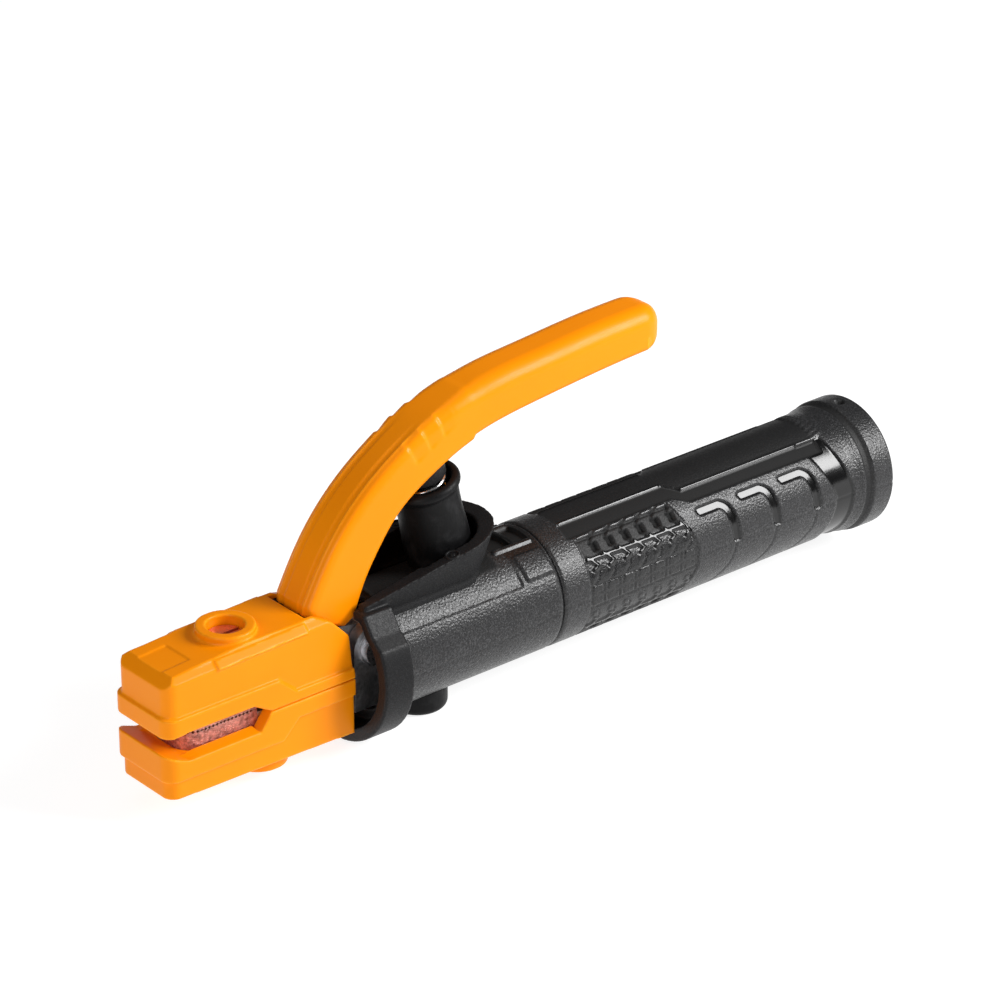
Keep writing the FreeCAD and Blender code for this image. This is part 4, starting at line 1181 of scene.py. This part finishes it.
show(grip_object(), "holder", "black_grip", GRIP_PLASTIC, "handle_grip")
show(sleeve_object(), "holder", "black_grip", SLEEVE_PLASTIC, "front_sleeve")
show(guard_object(), "holder", "grey_guard", GUARD_PLASTIC, "front_guard")
show(foot_object(), "holder", "black_rubber", BOOT_RUBBER, "foot_cap")
for mark_side in SIDE_NAMES:
    for mark_piece in tray_mark_object(mark_side):
        show(mark_piece, "holder", "grey_guard", GUARD_PLASTIC)
show(lower_jaw_object(), "holder", "yellow_insulation", ORANGE, "lower_jaw_insulator")
show(upper_jaw_object(), "lever", "yellow_insulation", ORANGE, "upper_jaw_insulator")
show(lever_object(), "lever", "yellow_insulation", ORANGE, "lever_cover")
# Painted shadow: a dark rubber block in the gap round the lever's foot.
show(foot_shadow_block_object(), "lever", "black_rubber", BOOT_RUBBER)

for piece, slot, material, node in ((boot_object(), "black_rubber", BOOT_RUBBER, "spring_cup"),
                                    (spring_object(), "spring_steel", SPRING_STEEL, "compression_spring")):
    show(piece, None, slot, material, node)
    start, end = (SPRING_FOOT + along * SPRING_AXIS for along in BLEND_RUN)
    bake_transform(piece, "holder", "lever", start=tuple(start * MM), end=tuple(end * MM))

dress(CAST_METAL, "conductor_body", "lever_core", "cable_clamp_shoe")
dress(GUARD_PLASTIC, "spring_top_seat")
dress(COPPER, "lower_jaw_contact", "upper_jaw_contact")
dress(COPPER_SCREW, "upper_insulator_screw", "lower_insulator_screw", "upper_contact_rivets",
      "lower_contact_rivets")
dress(STEEL, "pivot_pin", "pivot_washers", "pivot_clip", "handle_lock_screw", "cable_set_screws",
      "lever_cover_screw")
dress(BRASS, "pivot_bushing")


# ---------------- stage

FLOOR_GLOW = 0.86
WORLD_STRENGTH = 0.12


def floor_material():
    material, tree, shader, place = start_material("floor", level=0.2)
    clouds = noise(tree, place, 0.004, 2.0)
    colour = blend_colour(tree, clouds, (0.29, 0.29, 0.29), (0.32, 0.32, 0.32))
    rough = spread(tree, clouds, 0.3, 0.7, 0.7, 0.8)
    normal = bump(tree, noise(tree, place, 0.5, 2.0), 0.01)
    finish_material(tree, shader, colour, rough, normal)
    shader.inputs["Emission Color"].default_value = (1, 1, 1, 1)
    shader.inputs["Emission Strength"].default_value = FLOOR_GLOW
    return material


def soft_light(name, direction, distance, size, power):
    """Softbox that faces the middle of the object from a direction."""
    target = (CAD_BOUNDS[0] + CAD_BOUNDS[1]) / 2
    data = bpy.data.lights.new(name, "AREA")
    data.shape = "RECTANGLE"
    data.size, data.size_y = size
    data.energy = power
    lamp = bpy.data.objects.new(name, data)
    bpy.context.scene.collection.objects.link(lamp)
    away = Vector(direction).normalized()
    lamp.location = target + away * distance
    lamp.rotation_mode = "QUATERNION"
    lamp.rotation_quaternion = away.to_track_quat("Z", "Y")
    return lamp


FLOOR_HALF = 4000.0
FLOOR_CORNERS = [(-1, -1), (1, -1), (1, 1), (-1, 1)]
floor = new_object("floor", [(a * FLOOR_HALF, b * FLOOR_HALF, FLOOR_Z) for a, b in FLOOR_CORNERS],
                   [(0, 1, 2, 3)], smooth=False)
floor.data.materials.append(floor_material())

world = bpy.data.worlds.new("studio")
world.use_nodes = True
world.node_tree.nodes["Background"].inputs["Color"].default_value = (1, 1, 1, 1)
world.node_tree.nodes["Background"].inputs["Strength"].default_value = WORLD_STRENGTH
bpy.context.scene.world = world

soft_light("key", (0.575, -0.62, 0.53), 0.9, (0.42, 0.45), 11.5)
soft_light("top", (-0.15, 0.1, 1.0), 1.0, (0.9, 0.7), 1.4)
soft_light("left", (-0.9, -0.35, 0.35), 1.0, (0.5, 0.5), 3.2)

CAMERA_RIGHT = Vector((0.76597, -0.64289, 0.0))
CAMERA_UP = Vector((0.28784, 0.34295, 0.89419))
CAMERA_BACK = Vector((-0.57485, -0.68491, 0.44773))
CAMERA_PLACE = (-0.84905, -0.85133, 0.58592)
camera_data = bpy.data.cameras.new("camera")
camera_data.lens = 162.0
camera_data.sensor_width = 36.0
camera_data.clip_start = 0.05
camera_data.clip_end = 50.0
camera = bpy.data.objects.new("camera", camera_data)
bpy.context.scene.collection.objects.link(camera)
turn = Matrix((CAMERA_RIGHT, CAMERA_UP, CAMERA_BACK)).transposed().normalized()
camera.matrix_world = Matrix.Translation(CAMERA_PLACE) @ turn.to_4x4()
bpy.context.scene.camera = camera
bpy.context.scene.view_settings.view_transform = "Standard"
